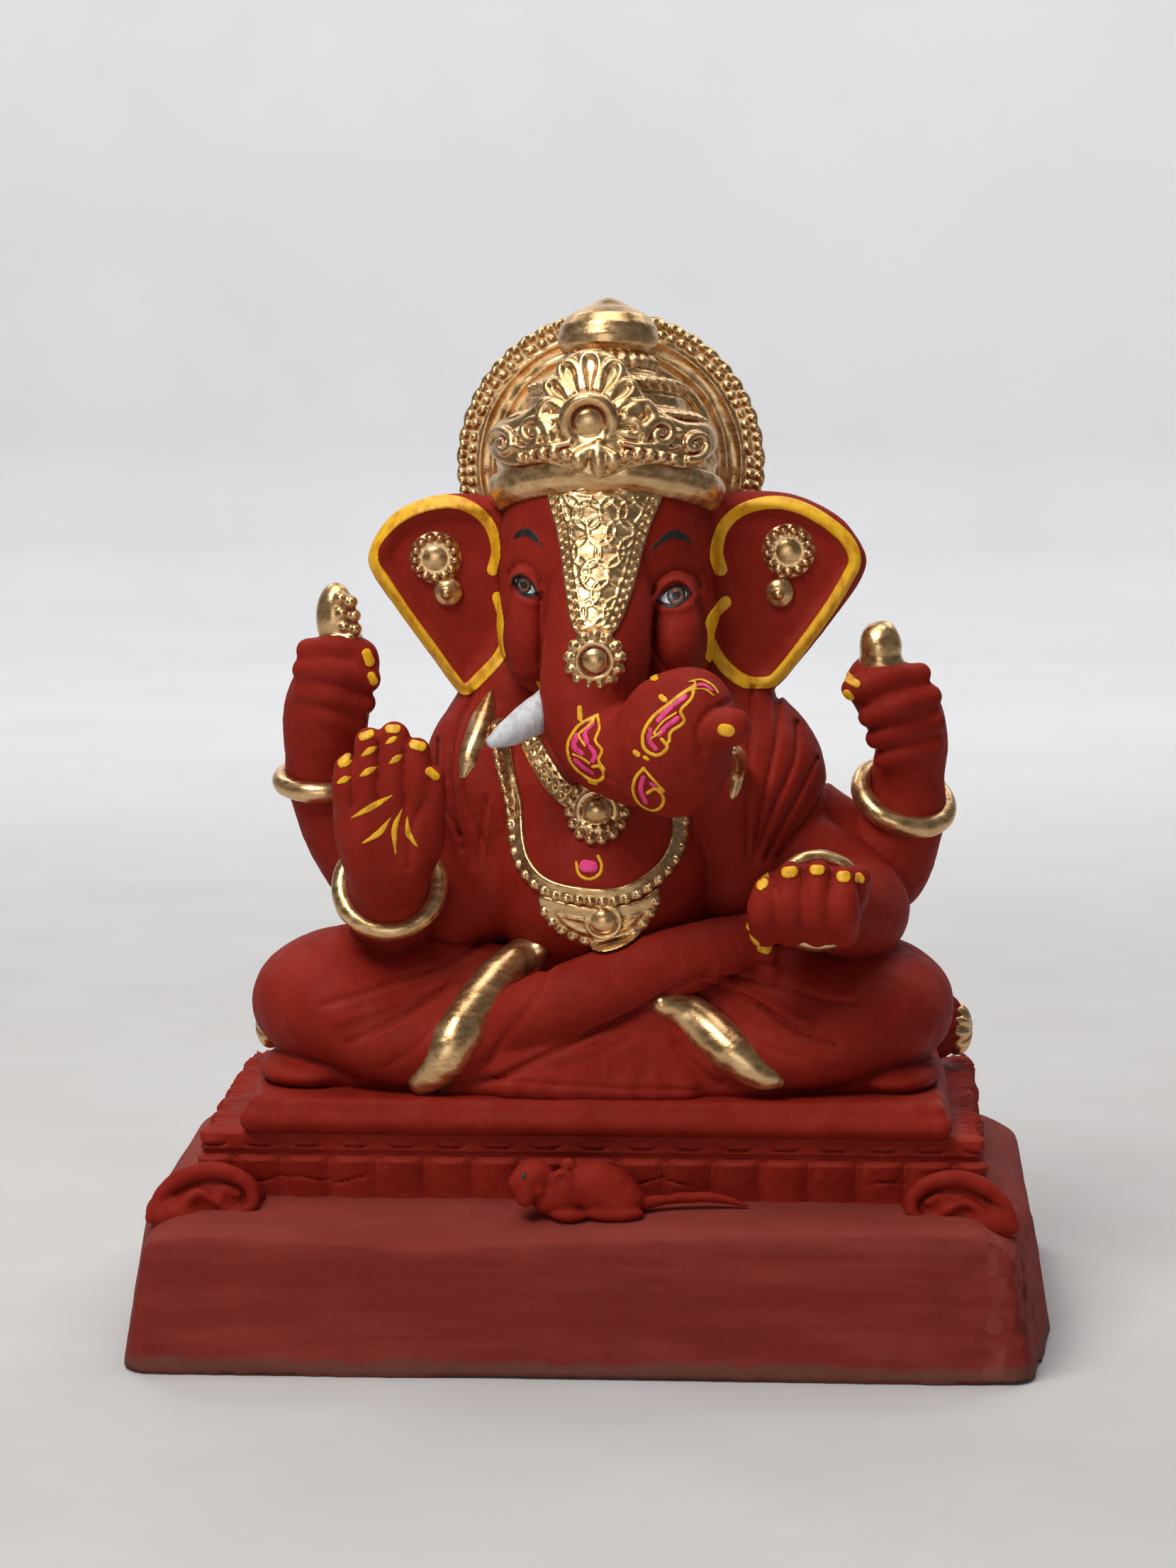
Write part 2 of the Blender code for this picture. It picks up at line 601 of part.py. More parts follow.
def add_ears(shop):
    under = ("head", "trunk", "torso", "shawl_right", "shawl_left")
    for name, outline in (("right_ear", RIGHT_EAR), ("left_ear", LEFT_EAR)):
        shop.add(name, plate(outline, -10.0, 0.0, 3.0), "red_clay", fits=under)
    for name, ear, disc, drop in (
        ("ear_jewel_right", "right_ear", (-46.5, -8.5, 216.5), (-41.5, -9.0, 207.0)),
        ("ear_jewel_left", "left_ear", (55.5, -8.5, 218.5), (53.0, -9.0, 206.0)),
    ):
        shapes = [egg(disc, (8.2, 4.0, 8.2), segments=16), egg(drop, (4.4, 4.2, 4.8), segments=12)]
        shop.clay(name, shapes, 160, fits=(ear,), finish="gold_paint", voxel=1.0, smoothing=1)


def add_crown(shop):
    under = ("head", "right_ear", "left_ear", "trunk")
    band = [(0, 9.6), (31.5, 9.6), (33.0, 8.0), (33.4, 4.5), (32.4, 1.0), (30.0, -0.6), (0, -0.6)]
    body = [(0, 39.5), (13.0, 39.5), (18.0, 36.5), (22.0, 34.5), (22.8, 32.0), (24.6, 31.0), (25.6, 28.0),
            (28.4, 24.5), (29.0, 21.0), (31.0, 17.0), (31.6, 12.0), (31.0, 10.0), (0, 10.0)]
    neck = [(0, 43.0), (11.0, 43.0), (12.6, 41.6), (12.4, 40.2), (0, 40.0)]
    kalash = [(0, 60.0), (2.4, 58.4), (4.6, 55.6), (9.4, 53.2), (13.0, 49.6), (14.0, 47.0), (13.2, 45.0),
              (10.6, 43.4), (0, 43.4)]
    fits = {"crown_band": under, "crown_body": ("head",), "crown_neck": (), "crown_kalash": ()}
    for name, profile in (("crown_band", band), ("crown_body", body), ("crown_neck", neck),
                          ("crown_kalash", kalash)):
        shop.add(name, turned(profile, CROWN_FOOT, CROWN_TILT), "gold_paint", fits=fits[name])

    shop.clay("crown_front", crest_shapes(), 900,
              fits=("crown_band", "crown_body", "crown_neck", "crown_kalash", "head", "trunk"),
              finish="gold_paint", voxel=1.0, smoothing=1)


def crest_shapes():
    """The relief on the crown's front: a gem disc, a fan of petals above it and a scroll each side."""
    shapes = [egg((0.5, -37.5, 256.0), (7.0, 4.5, 7.0), (-12, 0, 0))]
    for k in range(9):
        angle = math.radians(-112 + 28 * k)
        x, z = 0.5 + 11.0 * math.sin(angle), 256.0 + 12.0 * math.cos(angle)
        shapes.append(egg((x, -35.0 + 0.3 * (z - 250), z), (3.4, 4.0, 4.8), (0, math.degrees(angle), 0), 12))
    for side in (-1, 1):
        arm = [(5, -40, 246), (11, -37.5, 250.5), (17, -34.5, 250.5), (22, -31, 246.5), (26, -27, 247.5),
               (27.5, -24, 251)]
        shapes.append(limb([(2.2 + side * x, y, z) for x, y, z in arm], (2.6, 3.0, 3.4, 3.6, 3.4, 2.6)))
        shapes.append(egg((2.2 + side * 15.5, -30.0, 252.5), (5.0, 5.0, 5.0), segments=12))
        shapes.append(egg((2.2 + side * 14.0, -36.0, 246.0), (12.0, 3.4, 3.2), (0, 0, side * 24), 14))
    shapes.append(egg((3.4, -41.0, 246.0), (5.0, 3.6, 4.6), segments=12))
    return shapes


def add_halo(shop):
    """The round plate behind the crown, its rim scalloped by HALO_NOTCHES beads."""
    bm = bmesh.new()
    bmesh.ops.create_cone(bm, cap_ends=True, segments=2 * HALO_NOTCHES, radius1=HALO_RADIUS,
                          radius2=HALO_RADIUS - 1.0, depth=6.0)
    for vert in bm.verts:
        beads = 0.5 + 0.5 * math.cos(HALO_NOTCHES * math.atan2(vert.co.y, vert.co.x))
        vert.co.x *= 1 - 0.018 * (1 - beads)
        vert.co.y *= 1 - 0.018 * (1 - beads)
    disc = placed(mesh_from(bm), HALO_CENTRE, (90, 0, 0))
    shop.add("halo", disc, "gold_paint",
             fits=("crown_band", "crown_body", "crown_neck", "crown_kalash", "head", "right_ear",
                   "left_ear", "shawl_right", "shawl_left", "torso"))


# ---------------------------------------------------------------- applied jewellery

def add_jewellery(shop):
    chest = ("torso", "shawl_right", "shawl_left", "shawl_border_right", "shawl_border_left", "trunk",
             "tusk_right", "head")
    long_chain = limb([(-25, -31, 163), (-24, -38, 153), (-23, -42, 144), (-20, -45, 136), (-14, -48, 130),
                       (-5, -50, 127), (5, -50, 127), (14, -49, 130), (22, -46, 136), (26, -41, 145)],
                      (2.2, 2.6, 3.0, 3.2, 3.4, 3.4, 3.4, 3.4, 3.2, 2.4))
    shop.clay("long_necklace", [long_chain], 420, fits=(*chest, "front_left_arm", "front_right_arm"),
              finish="gold_paint", voxel=1.1, smoothing=1)
    crescent = [egg((4.5, -45, 119), (17.5, 9.0, 9.0))]
    shop.clay("necklace_plate", crescent, 260,
              fits=(*chest, "long_necklace", "right_foot", "right_leg", "left_leg", "hem_right"),
              finish="gold_paint", voxel=1.2, smoothing=1)
    short_chain = limb([(-19, -31, 170), (-15, -36, 163), (-9, -39, 156.5), (-2, -41, 152), (6, -41, 151),
                        (12, -39, 153)], (2.4, 3.0, 3.4, 3.2, 2.8, 2.2))
    pendant = egg((3.4, -42, 150), (9.5, 5.0, 7.6), segments=16)
    shop.clay("short_necklace", [short_chain], 300, fits=(*chest, "long_necklace"), finish="gold_paint",
              voxel=1.1, smoothing=1)
    shop.clay("pendant", [pendant], 160, fits=(*chest, "short_necklace", "long_necklace"),
              finish="gold_paint", voxel=1.0, smoothing=1)

    brow = [egg((4.5, -39, 228), (14, 8, 11)), egg((4, -46, 214), (9.5, 9, 12)),
            egg((3.4, -53, 203), (5, 9, 7))]
    shop.clay("forehead_plate", brow, 260,
              fits=("head", "trunk", "crown_band", "crown_front", "crown_body"), finish="gold_paint",
              voxel=1.2, smoothing=3)
    rosette = egg((3.6, -61, 193.0), (8.8, 4.5, 8.8), (8, 0, 0))
    shop.clay("forehead_rosette", [rosette], 180, fits=("trunk", "head", "forehead_plate"),
              finish="gold_paint", voxel=1.0, smoothing=1)


def main():
    clear_scene()
    shop = Workshop()
    add_plinth(shop)
    add_tier(shop)
    add_slab(shop)
    add_scrolls(shop)
    add_mouse(shop)
    add_bolster(shop)
    add_torso(shop)
    add_legs(shop)
    add_hems(shop)
    add_shawl(shop)
    add_rear_arms(shop)
    add_front_arms(shop)
    add_head(shop)
    add_ears(shop)
    add_crown(shop)
    add_halo(shop)
    add_jewellery(shop)


main()
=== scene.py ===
"""Looks for the seated elephant-headed idol: pressed red clay with gold, yellow, pink and white paint.

Every form is a distance field in millimetres, in the figure's own frame (X right, -Y front, Z up), and
is meshed on a fine lattice. The frame's plinth gives the place and scale that turn it into metres.
"""

import math
from concurrent.futures import ThreadPoolExecutor

import bpy
import numpy as np
from mathutils import Euler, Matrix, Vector


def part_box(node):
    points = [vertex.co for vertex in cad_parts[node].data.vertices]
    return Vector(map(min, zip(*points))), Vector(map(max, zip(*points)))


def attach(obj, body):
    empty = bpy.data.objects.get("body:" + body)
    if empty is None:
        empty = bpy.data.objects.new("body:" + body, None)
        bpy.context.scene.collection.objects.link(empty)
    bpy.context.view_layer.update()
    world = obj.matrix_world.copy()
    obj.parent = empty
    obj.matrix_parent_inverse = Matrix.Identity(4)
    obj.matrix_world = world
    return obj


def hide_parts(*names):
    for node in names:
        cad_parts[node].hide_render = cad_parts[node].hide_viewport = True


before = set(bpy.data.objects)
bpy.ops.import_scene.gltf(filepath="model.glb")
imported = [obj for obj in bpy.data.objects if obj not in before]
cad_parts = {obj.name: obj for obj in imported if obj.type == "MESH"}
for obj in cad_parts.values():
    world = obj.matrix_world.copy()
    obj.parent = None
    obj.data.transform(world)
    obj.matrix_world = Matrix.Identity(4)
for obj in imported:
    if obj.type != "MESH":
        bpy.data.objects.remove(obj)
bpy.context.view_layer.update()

# Driving dimensions in millimetres, the same as the CAD's.
PLINTH_WIDTH = 260.0
FIGURE_Y = 5.5
AXIS_X = 3.5
PLINTH_EDGE, PLINTH_TOP = 35.0, 43.5
TIER_HALF = 107.5
TIER_FRONT, TIER_BACK, TIER_TOP = -62.0, 58.0, 62.0
SLAB_HALF = 97.5
SLAB_FRONT, SLAB_BACK, SLAB_TOP = -64.0, 27.0, 71.5
WALL = 14.0
CROWN_FOOT = (4.0, -9.0, 229.5)
CROWN_TILT = -10.0
HALO_CENTRE = (3.6, 25.0, 240.0)
HALO_RADIUS = 44.6
PETAL_PITCH = 13.2

COARSE = 1.0
BODY_VOXEL = 0.72 * COARSE
BASE_VOXEL = 1.3 * COARSE
TRIM_VOXEL = 0.42 * min(COARSE, 1.5)
PAINT_VOXEL = 0.36 * min(COARSE, 1.4)

REACH = 6.0            # millimetres beyond a form's box where its distance still counts
FRONT_LIMIT = -95.0    # a Y ahead of every form
BLOCK = 20             # lattice cells along the side of a meshing block
FAR = 1 << 20          # more lattice cells than any side has, for the keys of cells

PLINTH_LOW, PLINTH_HIGH = (Vector(corner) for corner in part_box("plinth"))
SCALE = (PLINTH_HIGH.x - PLINTH_LOW.x) / PLINTH_WIDTH
MIDDLE = ((PLINTH_LOW.x + PLINTH_HIGH.x) / 2, (PLINTH_LOW.y + PLINTH_HIGH.y) / 2, PLINTH_LOW.z)


def to_world(points):
    """Figure millimetres as metres in the frame."""
    shifted = np.asarray(points, dtype=np.float64) + (0.0, FIGURE_Y, 0.0)
    return shifted * SCALE + MIDDLE


# ---------------------------------------------------------------- curves, maps and noise

def smooth_line(points, steps, closed=False):
    """Points along a Catmull-Rom curve through the given points, whatever their number of columns."""
    knots = np.asarray(points, dtype=float)
    if closed:
        knots = np.vstack([knots[-1], knots, knots[0], knots[1]])
    else:
        knots = np.vstack([2 * knots[0] - knots[1], knots, 2 * knots[-1] - knots[-2]])
    t = np.linspace(0, 1, steps, endpoint=False)[:, None]
    parts = []
    for a, b, c, d in zip(knots, knots[1:], knots[2:], knots[3:]):
        parts.append(0.5 * (2 * b + (c - a) * t + (2 * a - 5 * b + 4 * c - d) * t ** 2
                            + (3 * b - a - 3 * c + d) * t ** 3))
    if not closed:
        parts.append(knots[-2][None])
    return np.vstack(parts)


def evenly(points, pitch):
    """Points a pitch apart along a line, as near as a whole number of steps allows."""
    line = np.asarray(points, dtype=float)
    length = np.concatenate([[0], np.cumsum(np.linalg.norm(np.diff(line, axis=0), axis=1))])
    count = max(2, int(round(length[-1] / pitch)) + 1)
    at = np.linspace(0, length[-1], count)
    return np.stack([np.interp(at, length, column) for column in line.T], axis=1)


def line_distance(u, v, line, widths):
    """Distance in a plane to a line whose half width changes along it; below zero inside."""
    best = np.full(np.shape(u), 1e3)
    for (a, wa), (b, wb) in zip(zip(line, widths), zip(line[1:], widths[1:])):
        du, dv = b[0] - a[0], b[1] - a[1]
        t = np.clip(((u - a[0]) * du + (v - a[1]) * dv) / max(du * du + dv * dv, 1e-9), 0, 1)
        gap = np.hypot(u - a[0] - t * du, v - a[1] - t * dv) - (wa + (wb - wa) * t)
        np.minimum(best, gap, out=best)
    return best


def polygon_distance(u, v, outline):
    """Signed distance in a plane to a closed outline."""
    loop = np.vstack([outline, outline[:1]])
    gap = line_distance(u, v, loop, np.zeros(len(loop)))
    inside = np.zeros(np.shape(u), dtype=bool)
    for a, b in zip(loop, loop[1:]):
        crosses = (a[1] > v) != (b[1] > v)
        rise = b[1] - a[1] if abs(b[1] - a[1]) > 1e-9 else 1e-9
        inside ^= crosses & (u < (b[0] - a[0]) * (v - a[1]) / rise + a[0])
    return np.where(inside, -gap, gap)


class Map:
    """Values over the front (X, Z) plane, worked out once on a fine lattice and read back smoothly."""

    def __init__(self, low, high, step, work_out):
        self.low, self.high, self.step = low, high, step
        u = np.arange(low[0], high[0] + step, step)
        v = np.arange(low[1], high[1] + step, step)
        self.values = work_out(*np.meshgrid(u, v, indexing="ij")).astype(np.float32)

    def read(self, u, v):
        limit = np.array(self.values.shape) - 1.001
        i = np.clip((u - self.low[0]) / self.step, 0, limit[0])
        j = np.clip((v - self.low[1]) / self.step, 0, limit[1])
        i0, j0 = i.astype(np.int32), j.astype(np.int32)
        fi, fj = i - i0, j - j0
        grid = self.values
        low = grid[i0, j0] * (1 - fi) + grid[i0 + 1, j0] * fi
        high = grid[i0, j0 + 1] * (1 - fi) + grid[i0 + 1, j0 + 1] * fi
        return low * (1 - fj) + high * fj


def outline_map(outline, pad=4.0, step=0.25):
    """A map of the signed distance to a closed outline."""
    return Map(outline.min(axis=0) - pad, outline.max(axis=0) + pad, step,
               lambda u, v: polygon_distance(u, v, outline))


def stroke(points, widths, steps=6):
    """A brush stroke or bead of clay in the front plane: its line and half widths."""
    knots = np.asarray(points, dtype=float)
    if np.isscalar(widths):
        widths = [widths] * len(knots)
    both = smooth_line(np.column_stack([knots, widths]), steps)
    return both[:, :2], both[:, 2]


def stroke_map(strokes, blobs=(), *, step, pad=3.0):
    """A map of the distance to strokes and closed blobs."""
    everything = np.vstack([line for line, _ in strokes] + [np.asarray(blob) for blob in blobs])
    low = everything.min(axis=0) - pad
    high = everything.max(axis=0) + pad

    def work_out(u, v):
        best = np.full(u.shape, 1e3)
        for line, widths in strokes:
            np.minimum(best, line_distance(u, v, line, widths), out=best)
        for blob in blobs:
            np.minimum(best, polygon_distance(u, v, np.asarray(blob)), out=best)
        return best

    return Map(low, high, step, work_out)


LATTICE = np.random.default_rng(7).random((32, 32, 32)).astype(np.float32) * 2 - 1


def noise(p, size):
    """Smooth noise between -1 and 1 whose bumps are about size across."""
    q = p / size
    cell = np.floor(q).astype(np.int32)
    f = q - cell
    f = f * f * (3 - 2 * f)
    x0, y0, z0 = (cell[:, k] & 31 for k in range(3))
    x1, y1, z1 = ((cell[:, k] + 1) & 31 for k in range(3))
    fx, fy, fz = f[:, 0], f[:, 1], f[:, 2]
    near = (LATTICE[x0, y0, z0] * (1 - fx) + LATTICE[x1, y0, z0] * fx) * (1 - fy) \
        + (LATTICE[x0, y1, z0] * (1 - fx) + LATTICE[x1, y1, z0] * fx) * fy
    far = (LATTICE[x0, y0, z1] * (1 - fx) + LATTICE[x1, y0, z1] * fx) * (1 - fy) \
        + (LATTICE[x0, y1, z1] * (1 - fx) + LATTICE[x1, y1, z1] * fx) * fy
    return near * (1 - fz) + far * fz


# ---------------------------------------------------------------- distance fields

def soft_min(a, b, k):
    h = np.maximum(k - np.abs(a - b), 0) / k
    return np.minimum(a, b) - h * h * k * 0.25


def soft_max(a, b, k):
    return -soft_min(-a, -b, k)


class Form:
    """A solid: the box it lies in and the distance to its surface, below zero inside."""

    def __init__(self, low, high, measure):
        self.low = [float(v) for v in low]
        self.high = [float(v) for v in high]
        self.measure = measure

    def near(self, box):
        low, high = box
        return all(self.low[k] - REACH < high[k] and self.high[k] + REACH > low[k] for k in range(3))

    def distance(self, p, box):
        if not self.near(box):
            return np.full(len(p), REACH, dtype=np.float32)
        return self.measure(p, box)


def egg(centre, radii, tilt=(0, 0, 0)):
    """A ball stretched to its three radii and turned by tilt, in degrees about X, Y and Z."""
    turn = np.array(Euler([math.radians(a) for a in tilt]).to_matrix(), dtype=np.float32)
    middle = np.array(centre, dtype=np.float32)
    size = np.array(radii, dtype=np.float32)
    half = np.sqrt(((turn * size) ** 2).sum(axis=1))

    def measure(p, box):
        q = (p - middle) @ turn
        k0 = np.linalg.norm(q / size, axis=1)
        k1 = np.linalg.norm(q / (size * size), axis=1)
        return k0 * (k0 - 1) / np.maximum(k1, 1e-4)

    return Form(middle - half, middle + half, measure)


def limb(points, radii, steps=6):
    """A round tube through the points whose thickness follows radii, with round ends."""
    both = smooth_line(np.column_stack([np.asarray(points, dtype=float), radii]), steps)
    line, thick = both[:, :3].astype(np.float32), both[:, 3]
    widest = thick.max()
    pieces = []
    for a, b, ra, rb in zip(line, line[1:], thick, thick[1:]):
        reach = max(ra, rb) + REACH
        pieces.append((a, b - a, float(ra), float(rb - ra),
                       np.minimum(a, b) - reach, np.maximum(a, b) + reach))

    def measure(p, box):
        best = np.full(len(p), REACH, dtype=np.float32)
        low, high = box
        for start, run, ra, dr, lo, hi in pieces:
            if any(lo[k] > high[k] or hi[k] < low[k] for k in range(3)):
                continue
            q = p - start
            t = np.clip(q @ run / max(float(run @ run), 1e-9), 0, 1)
            gap = np.linalg.norm(q - t[:, None] * run, axis=1) - (ra + dr * t)
            np.minimum(best, gap, out=best)
        return best

    return Form(line.min(axis=0) - widest, line.max(axis=0) + widest, measure)


def block(low, high, roundness):
    """A box between two corners with soft edges."""
    lo, hi = np.array(low, dtype=np.float32), np.array(high, dtype=np.float32)
    middle, half = (lo + hi) / 2, (hi - lo) / 2 - roundness

    def measure(p, box):
        q = np.abs(p - middle) - half
        outside = np.linalg.norm(np.maximum(q, 0), axis=1)
        return outside + np.minimum(q.max(axis=1), 0) - roundness

    return Form(lo, hi, measure)


def ring(centre, radius, tube, tilt, flatten=1.0):
    """A torus whose hole faces +Z before it is tilted."""
    turn = np.array(Euler([math.radians(a) for a in tilt]).to_matrix(), dtype=np.float32)
    middle = np.array(centre, dtype=np.float32)
    half = radius + tube

    def measure(p, box):
        q = (p - middle) @ turn
        across = np.hypot(q[:, 0], q[:, 1]) - radius
        return np.hypot(across, q[:, 2] / flatten) - tube

    return Form(middle - half, middle + half, measure)


def turned(profile, centre, tilt, relief=None, arch=0.0):
    """A solid of revolution about a leaned vertical axis, from its profile's (radius, height) points.

    relief(angle, radius, height) is how far the surface stands proud; arch lifts the front of it.
    """
    turn = np.array(Euler((math.radians(tilt), 0, 0)).to_matrix(), dtype=np.float32)
    middle = np.array(centre, dtype=np.float32)
    outline = np.array(profile, dtype=float)
    wide, tall, low = outline[:, 0].max(), outline[:, 1].max(), outline[:, 1].min()
    section = np.vstack([outline, outline[::-1] * (-1, 1)])
    flat = Map((-1, low - 8), (wide + 10, tall + 8), 0.2,
               lambda u, v: polygon_distance(np.abs(u), v, section))

    def measure(p, box):
        q = (p - middle) @ turn
        radius = np.hypot(q[:, 0], q[:, 1])
        height = q[:, 2] - arch * np.clip(-q[:, 1] / wide, 0, 1) ** 2
        gap = flat.read(radius, height)
        if relief is not None:
            gap = gap - relief(np.arctan2(q[:, 0], -q[:, 1]), radius, height)
        return gap

    span = max(abs(low), tall)
    shift = span * math.sin(math.radians(tilt))
    return Form((middle[0] - wide - 2, middle[1] - wide - abs(shift) - 2, middle[2] + low - 8),
                (middle[0] + wide + 2, middle[1] + wide + abs(shift) + 2, middle[2] + tall + 8), measure)


def plate(outline, front, back, roundness, relief):
    """A flat piece standing in the front plane.

    relief(edge) is how far its front stands proud, from the distance to its edge, below zero inside.
    """
    curve = smooth_line(outline, 5, closed=True)
    edge = outline_map(curve, 8, 0.3)
    middle, half = (front + back) / 2, (back - front) / 2

    def measure(p, box):
        gap = edge.read(p[:, 0], p[:, 2])
        proud = relief(gap) * (p[:, 1] < middle)
        return soft_max(gap, np.abs(p[:, 1] - middle) - half - proud, roundness)

    low, high = curve.min(axis=0), curve.max(axis=0)
    return Form((low[0], front - 2, low[1]), (high[0], back, high[1]), measure)


def union(forms, k):
    """Forms pressed together with a fillet of k."""
    forms = list(forms)
    low = np.min([form.low for form in forms], axis=0)
    high = np.max([form.high for form in forms], axis=0)

    def measure(p, box):
        total = np.full(len(p), REACH, dtype=np.float32)
        for form in forms:
            if form.near(box):
                total = soft_min(total, form.measure(p, box), k)
        return total

    return Form(low, high, measure)


def carved(form, tool, k):
    """A form with another cut out of it, the cut's edge rounded by k."""
    def measure(p, box):
        return soft_max(form.measure(p, box), -tool.distance(p, box), k)

    return Form(form.low, form.high, measure)


def rubbed(form, uneven, size):
    """A form with the slight unevenness of hand-smoothed clay."""
    def measure(p, box):
        return form.measure(p, box) + uneven * noise(p, size)

    return Form(form.low, form.high, measure)


def draped(shape, rise, skin, *, under, edge, back=0.0, front=FRONT_LIMIT):
    """A layer on the skin's front inside a map's outline: rise above the skin, under below it."""
    low = (shape.low[0] + 2.2, front, shape.low[1] + 2.2)
    high = (shape.high[0] - 2.2, back, shape.high[1] - 2.2)

    def measure(p, box):
        base = skin(p, box)
        proud = rise(p[:, 0], p[:, 2]) if callable(rise) else rise
        shell = np.maximum(base - proud, -(base + under))
        shell = soft_max(shell, shape.read(p[:, 0], p[:, 2]), edge)
        return np.maximum(shell, np.maximum(p[:, 1] - back, front + 0.5 - p[:, 1]))

    return Form(low, high, measure)


def skin_point(skin, x, z, front=FRONT_LIMIT, back=20.0):
    """Where a straight look from the front at (x, z) first meets the skin."""
    y = np.arange(front, back, 0.25)
    p = np.column_stack([np.full(len(y), x), y, np.full(len(y), z)]).astype(np.float32)
    inside = skin(p, (p.min(axis=0), p.max(axis=0))) < 0
    return float(y[np.argmax(inside)]) if inside.any() else float(back)


def on_skin(skin, points, lift, **limits):
    """Front-plane points laid on the skin, as points in space."""
    return [(x, skin_point(skin, x, z, **limits) - lift, z) for x, z in points]


# ---------------------------------------------------------------- meshing

EDGES = [(a, b) for a in range(8) for b in range(a + 1, 8) if bin(a ^ b).count("1") == 1]
CORNERS = np.array([[(c >> 2) & 1, (c >> 1) & 1, c & 1] for c in range(8)])


def key_of(cells):
    cells = cells.astype(np.int64) + FAR // 2
    return (cells[:, 0] * FAR + cells[:, 1]) * FAR + cells[:, 2]


def net_cells(values):
    """Surface-net points of the cells that the surface passes through, their normals and indices."""
    n = values.shape[0] - 1
    inside = values < 0
    count = np.zeros((n, n, n), dtype=np.int8)
    for dx, dy, dz in CORNERS:
        count += inside[dx:n + dx, dy:n + dy, dz:n + dz]
    cells = np.argwhere((count > 0) & (count < 8))
    at = cells[:, None, :] + CORNERS[None]
    corner = values[at[..., 0], at[..., 1], at[..., 2]]
    total = np.zeros((len(cells), 3))
    hits = np.zeros(len(cells))
    for a, b in EDGES:
        va, vb = corner[:, a], corner[:, b]
        crossed = (va < 0) != (vb < 0)
        t = np.where(crossed, va / np.where(crossed, va - vb, 1), 0)
        point = CORNERS[a] + t[:, None] * (CORNERS[b] - CORNERS[a])
        total += point * crossed[:, None]
        hits += crossed
    normal = np.stack([corner[:, side == 1].mean(axis=1) - corner[:, side == 0].mean(axis=1)
                       for side in CORNERS.T], axis=1)
    normal /= np.maximum(np.linalg.norm(normal, axis=1, keepdims=True), 1e-9)
    return cells, total / np.maximum(hits, 1)[:, None], normal


def net_quads(values, start):
    """The quads around every lattice edge that the surface crosses, as keys of their four cells."""
    n = values.shape[0] - 1
    inside = values < 0
    quads = []
    for axis in range(3):
        step = np.zeros(3, dtype=int)
        step[axis] = 1
        near = inside[:n, :n, :n]
        far = inside[step[0]:n + step[0], step[1]:n + step[1], step[2]:n + step[2]]
        b, c = np.roll(step, 1), np.roll(step, 2)
        for flag, order in ((near & ~far, (0, 1, 2, 3)), (far & ~near, (3, 2, 1, 0))):
            at = np.argwhere(flag) + start
            if len(at):
                around = [at, at - b, at - b - c, at - c]
                quads.append(np.stack([key_of(around[k]) for k in order], axis=1))
    return quads


def mesh_forms(measure, low, high, voxel, shade):
    """Meshes named fields over a box, block by block, all on one lattice.

    measure(p, box) gives {name: distances}; shade(p, box) gives the distances that decide how deep in a
    crease a point lies. Returns {name: (points, quads, crease)}.
    """
    first = np.floor(np.asarray(low) / voxel).astype(int) - 2
    last = np.ceil(np.asarray(high) / voxel).astype(int) + 2
    starts = [(i, j, k) for i in range(first[0], last[0], BLOCK) for j in range(first[1], last[1], BLOCK)
              for k in range(first[2], last[2], BLOCK)]
    line = np.arange(BLOCK + 1)
    lattice = np.stack(np.meshgrid(line, line, line, indexing="ij"), axis=-1).reshape(-1, 3)
    sparse = np.linspace(0, BLOCK, 5)
    probe = np.stack(np.meshgrid(sparse, sparse, sparse, indexing="ij"), axis=-1).reshape(-1, 3)
    gap = BLOCK / 4 * voxel

    def one_block(start):
        origin = np.array(start)
        lo, hi = origin * voxel, (origin + BLOCK) * voxel
        found = {}
        coarse = measure(((probe + origin) * voxel).astype(np.float32), (lo, hi))
        hopeful = {name for name, d in coarse.items()
                   if (d.min() < 0 < d.max()) or np.abs(d).min() < gap * 1.3}
        if not hopeful:
            return found
        p = ((lattice + origin) * voxel).astype(np.float32)
        for name, d in measure(p, (lo, hi)).items():
            if name not in hopeful or d.min() >= 0 or d.max() < 0:
                continue
            values = d.reshape(BLOCK + 1, BLOCK + 1, BLOCK + 1)
            cells, points, normal = net_cells(values)
            place = (cells + points + origin) * voxel
            wide = (lo - 5.0, hi + 5.0)
            # How far a point 1 mm out from the surface falls short of 1 mm from the skin; the materials paint
            # shade in hollows and highlights on ridges by it.
            crease = 1 - shade((place + normal).astype(np.float32), wide)
            found[name] = (key_of(cells + origin), place, crease, net_quads(values, origin))
        return found

    with ThreadPoolExecutor(4) as pool:
        blocks = list(pool.map(one_block, starts))
    made = {}
    for name in sorted({name for found in blocks for name in found}):
        parts = [found[name] for found in blocks if name in found]
        keys, points, crease = (np.concatenate([part[k] for part in parts]) for k in range(3))
        quads = np.concatenate([quad for part in parts for quad in part[3]])
        order = np.argsort(keys)
        spot = np.searchsorted(keys[order], quads)
        spot = np.minimum(spot, len(keys) - 1)
        whole = (keys[order][spot] == quads).all(axis=1)
        made[name] = (points, order[spot[whole]], crease)
    return made


